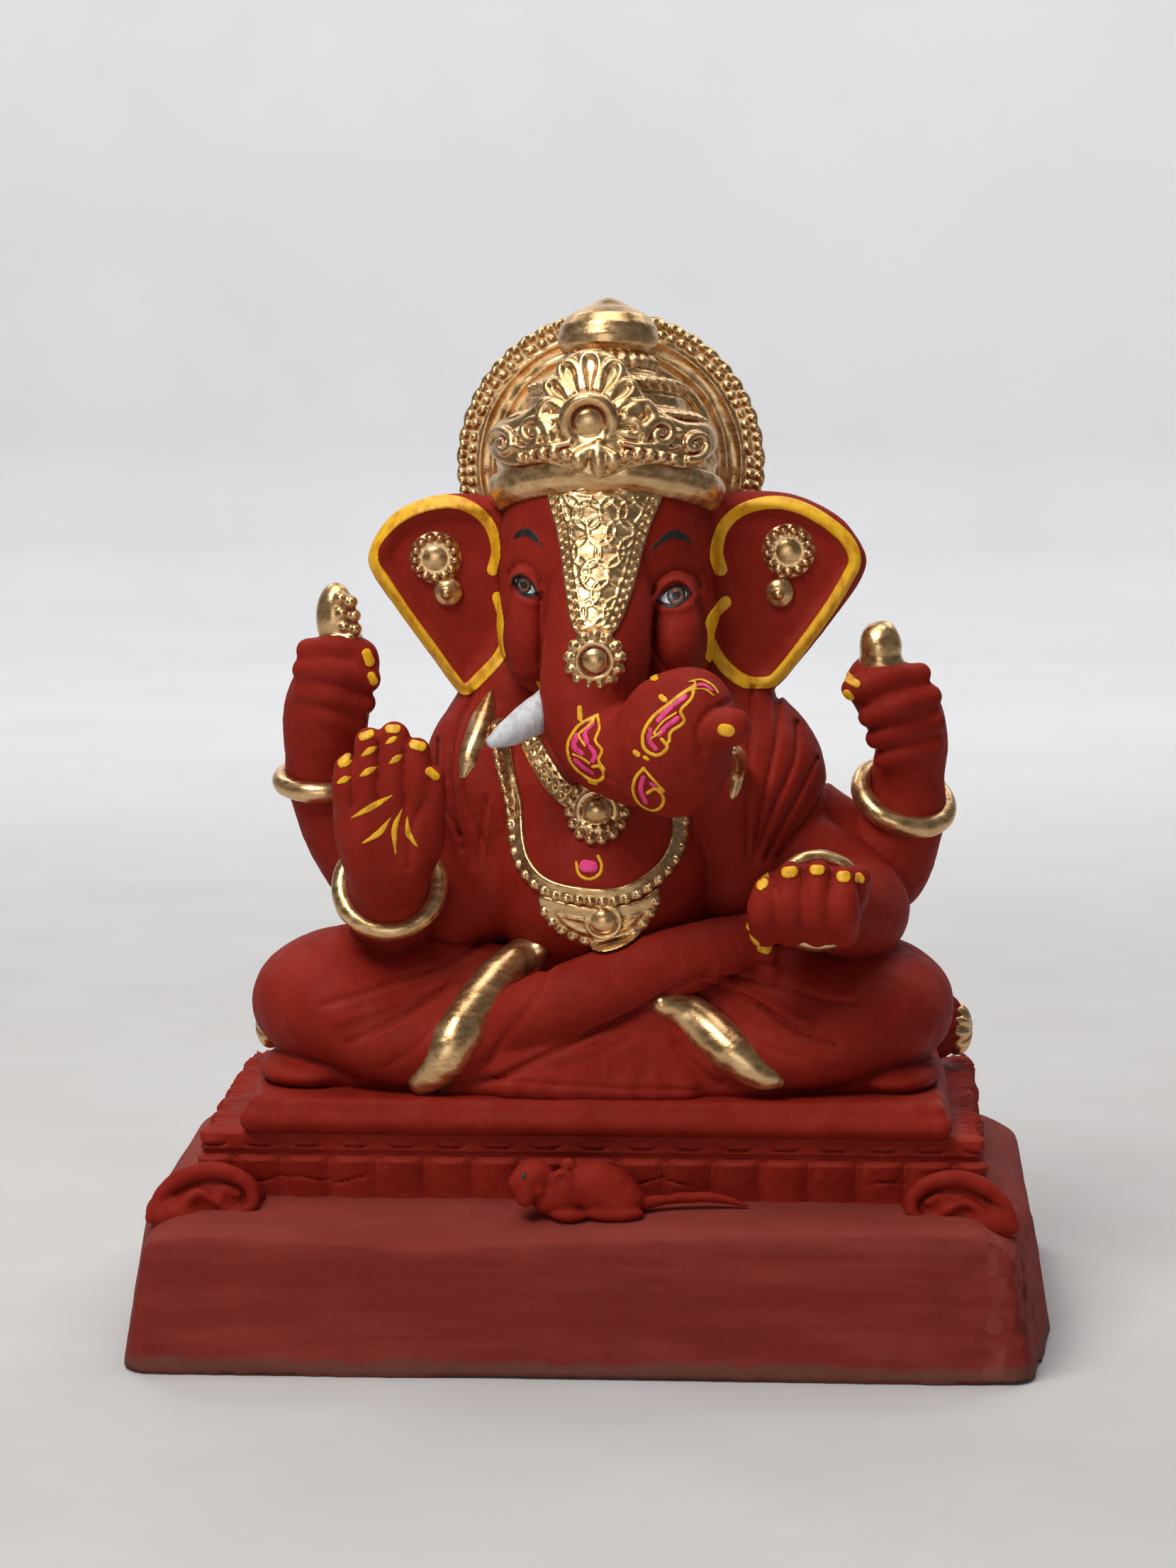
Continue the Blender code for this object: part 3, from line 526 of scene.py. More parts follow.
def build_object(name, data, material, nodes):
    """A Blender object from a meshed field, riding on the frame in place of CAD nodes."""
    points, quads, crease = data
    mesh = bpy.data.meshes.new(name)
    mesh.vertices.add(len(points))
    mesh.vertices.foreach_set("co", to_world(points).astype(np.float32).ravel())
    mesh.loops.add(4 * len(quads))
    mesh.loops.foreach_set("vertex_index", quads.astype(np.int32).ravel())
    mesh.polygons.add(len(quads))
    mesh.polygons.foreach_set("loop_start", np.arange(0, 4 * len(quads), 4, dtype=np.int32))
    mesh.update(calc_edges=True)
    # The crease attribute drives the painted shade in hollows and the painted highlight on ridges, and lets
    # red show in the gold's hollows.
    layer = mesh.attributes.new("crease", "FLOAT", "POINT")
    layer.data.foreach_set("value", np.clip(crease, -1, 1.5).astype(np.float32))
    mesh.shade_smooth()
    mesh.materials.append(material)
    obj = bpy.data.objects.new(name, mesh)
    bpy.context.scene.collection.objects.link(obj)
    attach(obj, "root")
    if nodes:
        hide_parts(*nodes)
    return obj


def add_form(name, form, voxel, material, nodes, skin=None):
    """Meshes one form, shaded by itself and by the skin it lies on."""
    def measure(p, box):
        return {name: form.distance(p, box)}

    def shade(p, box):
        own = form.distance(p, box)
        return np.minimum(own, skin(p, box)) if skin else own

    made = mesh_forms(measure, form.low, form.high, voxel, shade)
    return build_object(name, made[name], material, nodes)


# ---------------------------------------------------------------- the clay body

def torso_form():
    return union([
        egg((3.2, -8, 128), (36, 42, 32)),
        egg((4.5, -4, 152), (38, 36, 26)),
        egg((3.5, 9, 132), (46, 25, 50)),
        limb([(-27, 4, 160), (35, 4, 160)], (16, 16)),
        limb([(4, 0, 164), (4, 2, 186)], (20, 18)),
        egg((3.5, 2, 92), (46, 30, 24)),
    ], 6)


def right_leg_form():
    return union([
        egg((-67, -17, 91.5), (29, 37, 20)),
        limb([(-66, -20, 92), (-36, -28, 91), (-10, -24, 90)], (19, 19, 16)),
        egg((-44, -39, 84), (30, 21, 13.5)),
    ], 5)


def left_leg_form():
    return union([
        egg((74, -17, 91), (28.5, 37, 20)),
        limb([(71, -20, 91), (43, -28, 90), (16, -24, 90)], (19, 19, 16)),
        egg((54, -39, 83.5), (30, 21, 13)),
    ], 5)


def right_foot_form():
    """The crossed shin rising to the viewer's right, with its toes against the other thigh."""
    shin = limb([(-30, -45, 86), (-8, -48.5, 95.5), (12, -48, 103), (30, -43, 108.5), (44, -38, 112.5)],
                (9, 10.6, 10.4, 9.5, 7.5))
    toes = [egg((45.5 + 1.6 * k, -41.5 + 1.0 * k, 118.0 - 4.4 * k), (4.2, 4.0, 2.6), (0, 18, 0))
            for k in range(4)]
    return union([shin, *toes], 1.2)


def left_foot_form():
    """The shin tucked underneath, seen below the crossed one."""
    return union([
        limb([(-34, -49, 76.5), (-17, -49, 79.5), (2, -48, 84.5), (20, -45, 91.5)], (4.5, 7.0, 8.6, 7.6)),
        limb([(-26, -49, 76), (6, -50, 78), (34, -49, 78.5)], (4.0, 6.5, 6.0)),
        limb([(19, -46, 91), (34, -48, 80)], (7.2, 6.5)),
    ], 6)


def seat_cloth_form():
    """Cloth spilling from under the legs, fanned into flutes between the two hems."""
    drape = [
        egg((-78, -28, 74.5), (15, 23, 5.5)),
        egg((85, -28, 74.5), (14, 23, 5.2)),
        limb([(-80, -38, 74), (3, -56, 73.6), (87, -38, 74)], (3.6, 3.2, 3.6)),
        limb([(-84, 0, 75), (90, 0, 75)], (5, 5)),
    ]
    for k in range(7):
        foot = (-20.0 + 8.0 * k, -55.9, 74.4)
        drape.append(limb([(0.45 * foot[0] + 9.5, -52.5, 87.0 - 0.9 * abs(k - 3)), foot], (3.2, 3.4)))
    return union(drape, 4.0)


def shawl_right_form():
    return union([
        egg((-28, -4, 148), (20, 30, 30), (0, -8, 0)),
        egg((-22, 0, 172), (16, 17, 22)),
        egg((-28, -8, 127), (14, 26, 20)),
        egg((-37, -8, 117), (13, 25, 17)),
        egg((-42, 2, 112), (13, 22, 16)),
    ], 5)


def shawl_left_form():
    return union([
        egg((40, -4, 150), (26, 30, 29), (0, 14, 0)),
        egg((34, 0, 172), (18, 17, 22)),
        egg((42, -9, 128), (16, 26, 18)),
        egg((47, 0, 114), (14, 23, 17)),
    ], 5)


def rear_right_arm_form():
    return limb([(-36, 6, 148), (-50, 6, 128), (-62, 5, 124), (-71, 3, 134), (-77.3, 1, 149)],
                (14, 13.5, 12.5, 11.2, 10.3))


def rear_left_arm_form():
    return limb([(48, 6, 146), (66, 6, 132), (79, 5, 127), (86.5, 3, 138), (89.3, 1, 148)],
                (15, 16, 15.5, 12.5, 10.5))


def rear_right_hand_form():
    """A closed hand seen from its back edge: one long rounded form with the fingers wrapped across."""
    wrist = limb([(-77.4, 0, 157), (-76, -3, 171), (-73, -6, 183)], (10.8, 12.2, 10.0))
    wraps = [
        limb([(-80, -10, 189.5), (-72, -14, 190.5), (-64.5, -12, 188.5)], (3.6, 4.0, 3.4)),
        limb([(-81, -11, 184.0), (-72, -16, 184.6), (-63.0, -14, 182.0)], (3.8, 4.2, 3.6)),
        limb([(-81, -11, 177.8), (-73, -15, 178.0), (-64.5, -13, 175.2)], (3.8, 4.0, 3.4)),
        limb([(-80, -10, 171.8), (-74, -13, 171.6), (-66.5, -11, 169.8)], (3.6, 3.8, 3.2)),
    ]
    return union([wrist, egg((-66, -11, 186), (6.0, 6, 7.5)), *wraps], 1.6)


def rear_left_hand_form():
    wrist = limb([(89.3, 0, 155), (90, -2, 165), (86, -5, 175), (80, -8, 181)], (10.2, 10.2, 11, 8.5))
    wraps = [
        limb([(92, -9, 184.0), (83, -14, 183.0), (73, -15, 180.4)], (3.2, 4.0, 3.2)),
        limb([(95, -9, 177.5), (86, -15, 175.5), (78, -14, 172.5)], (3.4, 4.0, 3.2)),
        limb([(96, -9, 170.5), (87, -13, 168.5), (80, -12, 166.0)], (3.4, 3.8, 3.0)),
        limb([(96, -8, 163.5), (88, -11, 162.0), (82, -10, 160.0)], (3.2, 3.6, 2.8)),
    ]
    return union([wrist, *wraps], 1.6)


def front_right_arm_form():
    return limb([(-36, -12, 142), (-50, -15, 122), (-55, -26, 119), (-54.7, -44, 129)], (13, 14, 13.5, 11))


def front_left_arm_form():
    return limb([(48, -10, 138), (70, -12, 122), (75, -26, 119), (66, -46, 124)], (14, 15.5, 14, 11.5))


def front_right_hand_form():
    """The raised open palm."""
    palm = [egg((-53.4, -55, 147), (15.2, 8.8, 22)), egg((-53.8, -52, 134), (11.6, 10, 11)),
            egg((-46.0, -58, 143), (6.0, 6.4, 13), (0, 6, 0)),
            egg((-59.5, -58, 142), (6.5, 6.0, 14), (0, -4, 0))]
    for x, top, thick in ((-64.2, 163.0, 3.7), (-58.2, 170.0, 4.1), (-51.4, 171.6, 4.3), (-45.2, 167.4, 4.0)):
        palm.append(limb([(x * 0.94 - 3.2, -57, 150), (x, -60.0, 158), (x, -59.0, top)],
                         (thick + 0.9, thick + 0.5, thick - 0.1)))
    palm.append(limb([(-43.0, -57, 142), (-41.2, -59, 154), (-40.8, -59, 160.6)], (4.6, 4.0, 3.2)))
    return union(palm, 1.6)


def front_left_hand_form():
    """The lowered hand, its fingers curled round a sweet."""
    cup = [egg((61.2, -60, 127.0), (15.6, 12.5, 10.5))]
    for x, top in ((49.6, 132.2), (56.4, 136.4), (63.6, 137.0), (70.6, 135.2)):
        cup.append(limb([(x + 0.4, -66, 120.0), (x, -72.0, 126.5), (x + 0.3, -70, top)], (4.3, 4.7, 3.4)))
    cup.append(limb([(73.5, -57, 128), (75, -63, 134.5)], (4.4, 3.4)))
    return union(cup, 1.3)


def head_form():
    """Skull with two swellings under the brow and a long soft ridge below each eye."""
    return union([
        egg((4.2, -9, 215), (31, 33, 28)),
        egg((4.2, -13, 228), (28, 27, 20)),
        egg((4.5, -12, 200), (30, 28, 20)),
        egg((-12.5, -21, 196), (12.5, 18, 17)),
        egg((22, -21, 196), (12.5, 18, 18)),
        limb([(25.0, -35.0, 203), (25.4, -37, 196), (24.2, -35, 189)], (5.4, 6.6, 5.6)),
        limb([(-17.4, -34.5, 203), (-17.4, -36, 196), (-16.4, -35, 189)], (4.6, 5.6, 5.0)),
    ], 5.0)


def trunk_form():
    """The trunk hangs down the middle and rolls up to the viewer's right in a fat curl."""
    return union([
        limb([(4.5, -30, 224), (4, -38, 208), (3, -46, 193), (1, -52, 179), (5, -57, 170), (15, -64, 167)],
             (11, 14.5, 15.0, 13.0, 12.5, 13.5)),
        egg((25, -69, 171), (16.5, 17, 19.5)),
        egg((29.2, -70, 179.0), (12.6, 14.5, 13.2)),
        limb([(32, -76, 174), (37, -80, 177), (41.0, -82.5, 177.8)], (7.0, 6.0, 5.2)),
    ], 2.2)


EARS = {
    "right_ear": [(-24, 230), (-31, 233.0), (-39, 233.6), (-48, 232), (-56, 228), (-62, 220), (-62.5, 212),
                  (-54, 199.5), (-45, 187), (-36.5, 177), (-29, 182), (-22.5, 191), (-20, 206)],
    "left_ear": [(31, 230), (38, 233.8), (49, 234.8), (60, 232.6), (70, 226.8), (76.4, 217.5), (75, 210),
                 (68.0, 199.5), (60, 189), (50.8, 179.0), (41, 180), (32, 187.5), (29, 206)],
}


def ear_form(name):
    """A fan with a rolled rim and a sunk panel."""
    def relief(edge):
        rim = np.exp(-((edge + 3.0) / 1.9) ** 2) * 1.6
        panel = -1.1 / (1 + np.exp((edge + 6.2) * 2.4))
        return rim + panel

    return plate(EARS[name], -10.0, 0.0, 4.0, relief)


CLAY = {
    "torso": torso_form,
    "right_leg": right_leg_form,
    "left_leg": left_leg_form,
    "right_foot": right_foot_form,
    "left_foot": left_foot_form,
    "seat_cloth": seat_cloth_form,
    "shawl_right": shawl_right_form,
    "shawl_left": shawl_left_form,
    "rear_right_arm": rear_right_arm_form,
    "rear_left_arm": rear_left_arm_form,
    "rear_right_hand": rear_right_hand_form,
    "rear_left_hand": rear_left_hand_form,
    "front_right_arm": front_right_arm_form,
    "front_left_arm": front_left_arm_form,
    "front_right_hand": front_right_hand_form,
    "front_left_hand": front_left_hand_form,
    "head": head_form,
    "trunk": trunk_form,
    "right_ear": lambda: ear_form("right_ear"),
    "left_ear": lambda: ear_form("left_ear"),
}

# Tool marks pressed into the front of the figure: depth in millimetres (below zero stands proud), the
# nearest and furthest Y that it reaches, its points in the front plane and its half width.
MARKS = [
    # Folds of the cloth over the viewer's left knee.
    (1.0, -75, -20, [(-72.3, 95.9), (-54.4, 100.6), (-42.5, 104.0), (-30.0, 109.3)], 0.9),
    (0.9, -75, -20, [(-65.1, 85.6), (-52.0, 92.0), (-44.1, 96.1), (-36.0, 101.0)], 0.9),
    (-0.6, -75, -20, [(-68.0, 91.5), (-52.0, 96.6), (-40.0, 101.0)], 1.3),
    (0.6, -75, -20, [(-56.0, 79.0), (-48.0, 84.0), (-41.0, 90.5)], 0.9),
    # Folds over the viewer's right knee.
    (1.1, -75, -20, [(32.6, 104.7), (45.9, 102.1), (61.5, 98.7), (74.6, 97.4)], 0.9),
    (1.2, -75, -20, [(32.3, 102.6), (45.9, 96.9), (57.7, 90.7), (69.4, 86.9)], 0.9),
    (-0.7, -75, -20, [(36.0, 101.6), (48.0, 97.6), (62.0, 92.4)], 1.3),
    (0.9, -75, -20, [(36.6, 94.1), (43.7, 90.2), (53.0, 85.8), (60.0, 83.6)], 0.8),
    # The crease under the crossed shin, and the folds of the cloth below it.
    (1.5, -75, -35, [(-39.3, 72.9), (-32.2, 74.5), (-23.6, 76.6), (-12.6, 81.8), (-1.6, 87.5), (9.3, 92.8),
                     (17.1, 97.2), (26.5, 102.9), (35.0, 106.4)], 1.0),
    (0.8, -75, -35, [(25.0, 87.0), (28.4, 82.6), (32.4, 79.0), (37.6, 75.4)], 1.0),
    (0.9, -75, -35, [(-9.4, 107.6), (-14.1, 97.5), (-20.4, 89.5), (-25.9, 81.5)], 1.2),
    (0.7, -75, -40, [(-24.5, 76.6), (-12.2, 75.9), (11.2, 74.8), (31.4, 74.2)], 0.7),
    (0.4, -75, -40, [(-14.0, 78.6), (2.0, 82.6), (12.0, 87.6)], 0.8),
    # Pleats of the shawl on the viewer's right.
    (1.3, -45, 14, [(44.4, 134), (44.4, 155.6), (45.1, 180)], 0.9),
    (1.3, -45, 14, [(45.6, 133.0), (48.7, 151.1), (52.2, 168.1), (52.0, 178)], 0.9),
    (1.3, -45, 14, [(46.0, 133), (51.5, 148.8), (57.0, 160.9), (57.5, 170)], 0.9),
    (1.3, -45, 14, [(49.1, 134), (56.6, 148.6), (63.0, 160.0)], 0.9),
    (1.2, -45, 14, [(52.5, 134), (60.6, 144.3), (66.6, 152.0)], 0.8),
    # Pleats on the viewer's left.
    (1.2, -45, 14, [(-35.1, 136.1), (-38.4, 155.1), (-37.6, 168.1), (-33.4, 178)], 0.9),
    (1.2, -45, 14, [(-36, 140), (-42.5, 153.0), (-43.0, 165.0)], 0.8),
    (1.0, -45, 0, [(-27.0, 134.6), (-32.3, 145.6), (-34.8, 153.6)], 0.8),
    (0.9, -45, 0, [(-31.3, 131.6), (-27.9, 151.6)], 0.7),
    # The palm's creases between the fingers and round the thumb.
    (0.6, -80, -48, [(-62.3, 153), (-62.5, 158), (-62.6, 166)], 0.7),
    (0.6, -80, -48, [(-55.4, 154), (-55.6, 160), (-55.4, 170)], 0.7),
    (0.6, -80, -48, [(-48.0, 153), (-48.4, 158), (-48.5, 168)], 0.7),
    (0.9, -80, -48, [(-47.5, 136), (-46.5, 146), (-43.6, 154)], 0.8),
    # Lids, the fold over each eye and the wrinkles beside the trunk.
    (-1.5, -60, -22, [(-21.6, 210.6), (-20.4, 213.0), (-18.0, 214.1), (-15.2, 212.6), (-13.3, 209.2)], 1.0),
    (0.9, -60, -22, [(-22.6, 212.6), (-20.9, 215.4), (-18.1, 216.6), (-14.6, 215.0), (-12.4, 210.6)], 0.6),
    (0.7, -60, -22, [(-20.4, 210.8), (-17.2, 209.6), (-13.8, 207.8)], 1.4),
    (-0.6, -60, -22, [(-20.6, 208.6), (-17.4, 206.8), (-13.8, 206.2)], 0.9),
    (-1.5, -60, -22, [(19.2, 207.8), (20.9, 211.0), (24.6, 212.7), (28.2, 210.9), (29.8, 207.8)], 1.0),
    (0.9, -60, -22, [(18.0, 208.6), (20.0, 213.3), (24.6, 215.4), (29.2, 213.3), (31.0, 209.2)], 0.6),
    (0.7, -60, -22, [(19.8, 207.2), (24.0, 208.0), (28.6, 208.0)], 1.4),
    (-0.6, -60, -22, [(19.6, 204.6), (24.6, 204.6), (29.2, 206.0)], 0.9),
    (0.9, -60, -24, [(18.9, 204.5), (18.3, 198.6), (19.1, 192.1), (22.5, 187.9)], 0.8),
    (0.6, -60, -24, [(30.4, 206.4), (31.8, 200.3), (30.0, 190.1)], 1.0),
    (0.9, -60, -24, [(-13.0, 206.8), (-12.6, 200.1), (-12.8, 190.3)], 0.8),
    (0.4, -60, -20, [(-22.4, 204.0), (-22.8, 197.0), (-21.0, 189.0)], 1.0),
    (0.4, -60, -20, [(31.6, 219.0), (30.0, 224.6), (30.4, 230.0)], 0.7),
    (0.3, -60, -20, [(29.2, 216.6), (27.6, 220.0), (28.4, 226.0)], 0.7),
    # The crease where the trunk's tip folds over the curl, and the nostril end's ring.
    (1.0, -99, -70, [(33.0, 171.0), (31.8, 176.6), (34.6, 181.6), (40.0, 183.6)], 0.8),
    (0.7, -99, -52, [(-3.6, 160.6), (3.0, 163.4), (9.6, 161.8), (12.4, 157.0)], 0.8),
    # A seam of slip down the viewer's left of the chest.
    (-0.5, -60, -20, [(-27.0, 149.6), (-28.4, 140.0), (-30.6, 127.6)], 0.5),
]


def marks_form():
    """The marks as one function: how far the skin is pushed in at a point."""
    groups = {}
    for depth, front, back, points, width in MARKS:
        groups.setdefault((depth, front, back, width), []).append(stroke(points, 0.0, 5))
    maps = [(depth, front, back, width, stroke_map(lines, step=0.4, pad=4.0))
            for (depth, front, back, width), lines in groups.items()]

    def push(p, box):
        total = np.zeros(len(p), dtype=np.float32)
        for depth, front, back, width, gaps in maps:
            low, high = box
            high_at = (gaps.low[0] + gaps.step * gaps.values.shape[0],
                       gaps.low[1] + gaps.step * gaps.values.shape[1])
            if low[0] > high_at[0] or high[0] < gaps.low[0] or low[2] > high_at[1] or high[2] < gaps.low[1] \
                    or low[1] > back + 3 or high[1] < front:
                continue
            gap = gaps.read(p[:, 0], p[:, 2])
            fade = np.clip((back + 3 - p[:, 1]) / 3.0, 0, 1) * (p[:, 1] > front)
            total += depth * np.exp(-(gap / width) ** 2) * fade * (gap < 3.0)
        return total

    return push


def back_folds(p):
    """Long shallow folds of the shawl down the figure's back."""
    behind = np.clip((p[:, 1] - 8.0) / 10.0, 0, 1) * np.clip((p[:, 2] - 92.0) / 12.0, 0, 1) \
        * np.clip((182.0 - p[:, 2]) / 10.0, 0, 1)
    sway = 3.0 * np.sin(p[:, 2] * 0.045)
    return behind * 0.6 * np.cos((p[:, 0] - AXIS_X + sway) * 2 * math.pi / 8.5)


class Body:
    """The clay figure as one skin, and the named pieces it is luted together from."""

    FILLET = 1.7
    LAP = 2.4

    def __init__(self):
        self.forms = {name: make() for name, make in CLAY.items()}
        self.push = marks_form()
        self.low = np.min([form.low for form in self.forms.values()], axis=0)
        self.high = np.max([form.high for form in self.forms.values()], axis=0)

    def parts(self, p, box):
        return {name: form.measure(p, box) for name, form in self.forms.items() if form.near(box)}

    def blend(self, parts, p, box):
        total = np.full(len(p), REACH, dtype=np.float32)
        for gaps in parts.values():
            total = soft_min(total, gaps, self.FILLET)
        return total + self.push(p, box) + back_folds(p) + 0.22 * noise(p, 7.0) + 0.10 * noise(p, 2.6)

    def skin(self, p, box):
        return self.blend(self.parts(p, box), p, box)

    def pieces(self, p, box):
        """Each piece follows the skin where it is nearest and dives under its neighbours beyond that."""
        parts = self.parts(p, box)
        total = self.blend(parts, p, box)
        made = {}
        for name, own in parts.items():
            others = np.full(len(p), REACH, dtype=np.float32)
            for other, gaps in parts.items():
                if other != name:
                    np.minimum(others, gaps, out=others)
            past = own - others
            made[name] = np.maximum(total + 0.3 * np.maximum(past - 0.25, 0), past / 2 - self.LAP)
        return made


def add_body(body, clay):
    made = mesh_forms(body.pieces, body.low, body.high, BODY_VOXEL, body.skin)
    for name, data in made.items():
        build_object(name + "_clay", data, clay, (name,))


# ---------------------------------------------------------------- the base

# How far the worn front edge of the plinth stands above its corners, along X.
EDGE_WAVE = smooth_line([(-131, 0.0), (-121, 0.7), (-100, 2.7), (-72, 1.9), (-42, 0.2), (-13, 2.4), (15, 3.5),
                         (44, 5.0), (73, 5.9), (102, 5.3), (119, 3.6), (131, 2.0)], 4)


def slope_gap(out, z, a, b):
    """Distance beyond a slope rising from a to b, each given as (outward, height)."""
    along, up = b[0] - a[0], b[1] - a[1]
    return ((out - a[0]) * up - (z - a[1]) * along) / np.hypot(along, up)


def plinth_form():
    """A block whose sides lean in and spread towards the back, open and hollow underneath."""
    side = [(130.0, 0), (124.0, PLINTH_EDGE), (119.0, PLINTH_EDGE + 4.5), (111.0, PLINTH_TOP)]
    back = [(77.0, 0), (74.0, PLINTH_EDGE), (71.5, PLINTH_EDGE + 4.0), (66.0, PLINTH_TOP)]
    spread_from, spread = -28.0, (PLINTH_WIDTH / 2 - 123.0) / 60.0
    lean = math.hypot(1, spread)

    def measure(p, box):
        x, y, z = np.abs(p[:, 0]), p[:, 1], p[:, 2]
        wide = np.where(y < spread_from, (x + (spread_from - y) * spread) / lean + 0.4, x)
        edge = PLINTH_EDGE + np.interp(p[:, 0], EDGE_WAVE[:, 0], EDGE_WAVE[:, 1])
        front = [(88.0, 0), (86.0, edge), (82.0, np.minimum(edge + 2.2, 0.4 * edge + 0.6 * PLINTH_TOP)),
                 (60.0, PLINTH_TOP + 0.3)]
        total = np.full(len(p), -REACH * 4)
        for out, slope, round_off in ((-y, front, 0.7), (wide, side, 1.6), (y, back, 1.6)):
            for a, b in zip(slope, slope[1:]):
                total = soft_max(total, slope_gap(out, z, a, b), round_off)
        total = soft_max(total, z - PLINTH_TOP, 1.0)
        total = soft_max(total, -z, 0.6)
        corner = (x - y) / math.sqrt(2) - (123.0 + 88.0) / math.sqrt(2) + 2.4
        total = soft_max(total, corner, 3.0)
        hollow = np.maximum.reduce([x - 116.0 + z * 0.24, -y - 74.0 + z * 0.3, y - 63.0 + z * 0.17,
                                    z - (PLINTH_TOP - WALL)])
        total = soft_max(total, -hollow, 2.0)
        rough = np.clip((12.0 - z) / 6.0, 0, 1)
        streaks = noise(p * (0.08, 0.3, 1.0), 4.0) * 0.14
        knocked = np.clip((x - 96) / 20, 0, 1) * (p[:, 0] > 0) * np.clip((-60 - y) / 8, 0, 1)
        pits = knocked * (np.maximum(noise(p, 7.0) - 0.25, 0) * 2.2
                          + np.maximum(noise(p + 40.0, 4.0) - 0.3, 0) * 1.4)
        return total + 0.5 * noise(p, 24.0) + streaks + pits + rough * 0.25 * noise(p, 3.4)

    return Form((-131, -89, -0.5), (131, 78, 44), measure)


def petals(along, z):
    """How far the tier's front stands proud: cushioned petals parted by ribs, under a pressed band."""
    u = along / PETAL_PITCH
    u = (u - np.floor(u) - 0.5) * 2
    tall = np.clip((z - 44.4) / 10.6, 0, 1)
    round_off = np.clip(1 - (np.abs(u) / 0.95) ** 2.6, 0, 1) ** 0.75
    lid = np.clip((55.4 - 0.9 * u ** 4 - z) / 1.5, 0, 1) ** 0.5
    face = round_off * lid * (1.4 + 2.2 * tall ** 1.2)
    rib = np.exp(-((np.abs(u) - 1.0) * PETAL_PITCH / 2 / 0.5) ** 2) * np.clip((54.6 - z) / 1.2, 0, 1)
    smile = np.exp(-((z - 57.6 - 1.7 * u * u) / 0.5) ** 2) * np.clip((0.75 - np.abs(u)) * 5, 0, 1)
    bump = np.exp(-((z - 59.0) / 1.0) ** 2 - (u / 0.34) ** 2)
    crack = np.exp(-((z - 48.6 - 0.9 * np.sin(along * 0.31) - 0.5 * u) / 0.35) ** 2) \
        * np.clip(np.sin(along * 0.071 + 0.6) * 3, 0, 1)
    band = np.clip((z - 56.0) / 0.8, 0, 1) * np.clip((62.4 - z) / 1.2, 0, 1)
    return face + (0.4 + 1.4 * tall) * rib - 0.9 * smile + 0.6 * bump - 0.7 * crack + 1.6 * band


def petal_band_form():
    """The petalled front of the tier, laid on its core."""
    left, right = AXIS_X - 2.5 - TIER_HALF, AXIS_X - 0.5 + TIER_HALF
    front = TIER_FRONT + 3.6
    slab = block((left + 2.0, front, PLINTH_TOP - 1.2), (right - 2.0, front + 6.0, TIER_TOP), 1.0)

    def measure(p, box):
        proud = petals(p[:, 0] - 3.0 + PETAL_PITCH / 2, p[:, 2]) * (p[:, 1] < front + 2.0)
        return slab.measure(p, box) - proud + 0.25 * noise(p, 8.0) + 0.12 * noise(p, 2.4)

    return Form((left, front - 4.5, PLINTH_TOP - 1.5), (right, front + 6.0, TIER_TOP + 1.0), measure)


def tier_form():
    """The tier's core, rough and fringed down its flanks and back."""
    left, right = AXIS_X - 1.5 - TIER_HALF, AXIS_X - 1.5 + TIER_HALF
    core = block((left, TIER_FRONT + 3.2, PLINTH_TOP - 1.0), (right, TIER_BACK, TIER_TOP), 2.4)

    def measure(p, box):
        x, y, z = p[:, 0], p[:, 1], p[:, 2]
        flank = np.clip((np.abs(x - AXIS_X + 1.5) - TIER_HALF + 7.0) / 4.0, 0, 1) \
            * np.clip((y + 58) / 4.0, 0, 1)
        behind = np.clip((y - TIER_BACK + 6.0) / 4.0, 0, 1)
        fringe = np.sin((z * 0.55 + y * 0.9) * 2.3 + 1.5 * noise(p, 9.0)) * 0.5
        strokes = np.sin((z * 0.45 + x * 0.8) * 2.1 + 1.5 * noise(p, 9.0)) * 0.4
        proud = flank * (fringe + 1.1 * noise(p * (0.4, 1, 0.5), 5.0)) + behind * strokes
        return core.measure(p, box) - proud + 0.25 * noise(p, 8.0) + 0.12 * noise(p, 2.4)

    return Form((left - 1.5, TIER_FRONT + 1.5, PLINTH_TOP - 1.0),
                (right + 1.5, TIER_BACK + 1.0, TIER_TOP + 0.5), measure)


def slab_form():
    """The seat slab: a flat top over a rolled front edge."""
    low, high = TIER_TOP - 0.5, SLAB_TOP
    left, right = AXIS_X - SLAB_HALF, AXIS_X + SLAB_HALF
    top = block((left + 1.5, SLAB_FRONT + 2.0, low), (right - 1.5, SLAB_BACK, high), 2.6)
    corners = [(left + 3.0, SLAB_BACK - 4.0, 65.2), (left + 3.0, SLAB_FRONT + 3.2, 65.2),
               (right - 3.0, SLAB_FRONT + 3.2, 65.2), (right - 3.0, SLAB_BACK - 4.0, 65.2)]
    rolls = [limb(ends, (3.0, 3.0), 1) for ends in zip(corners, corners[1:])]
    return rubbed(rubbed(union([top, *rolls], 1.6), 0.35, 11.0), 0.1, 2.6)


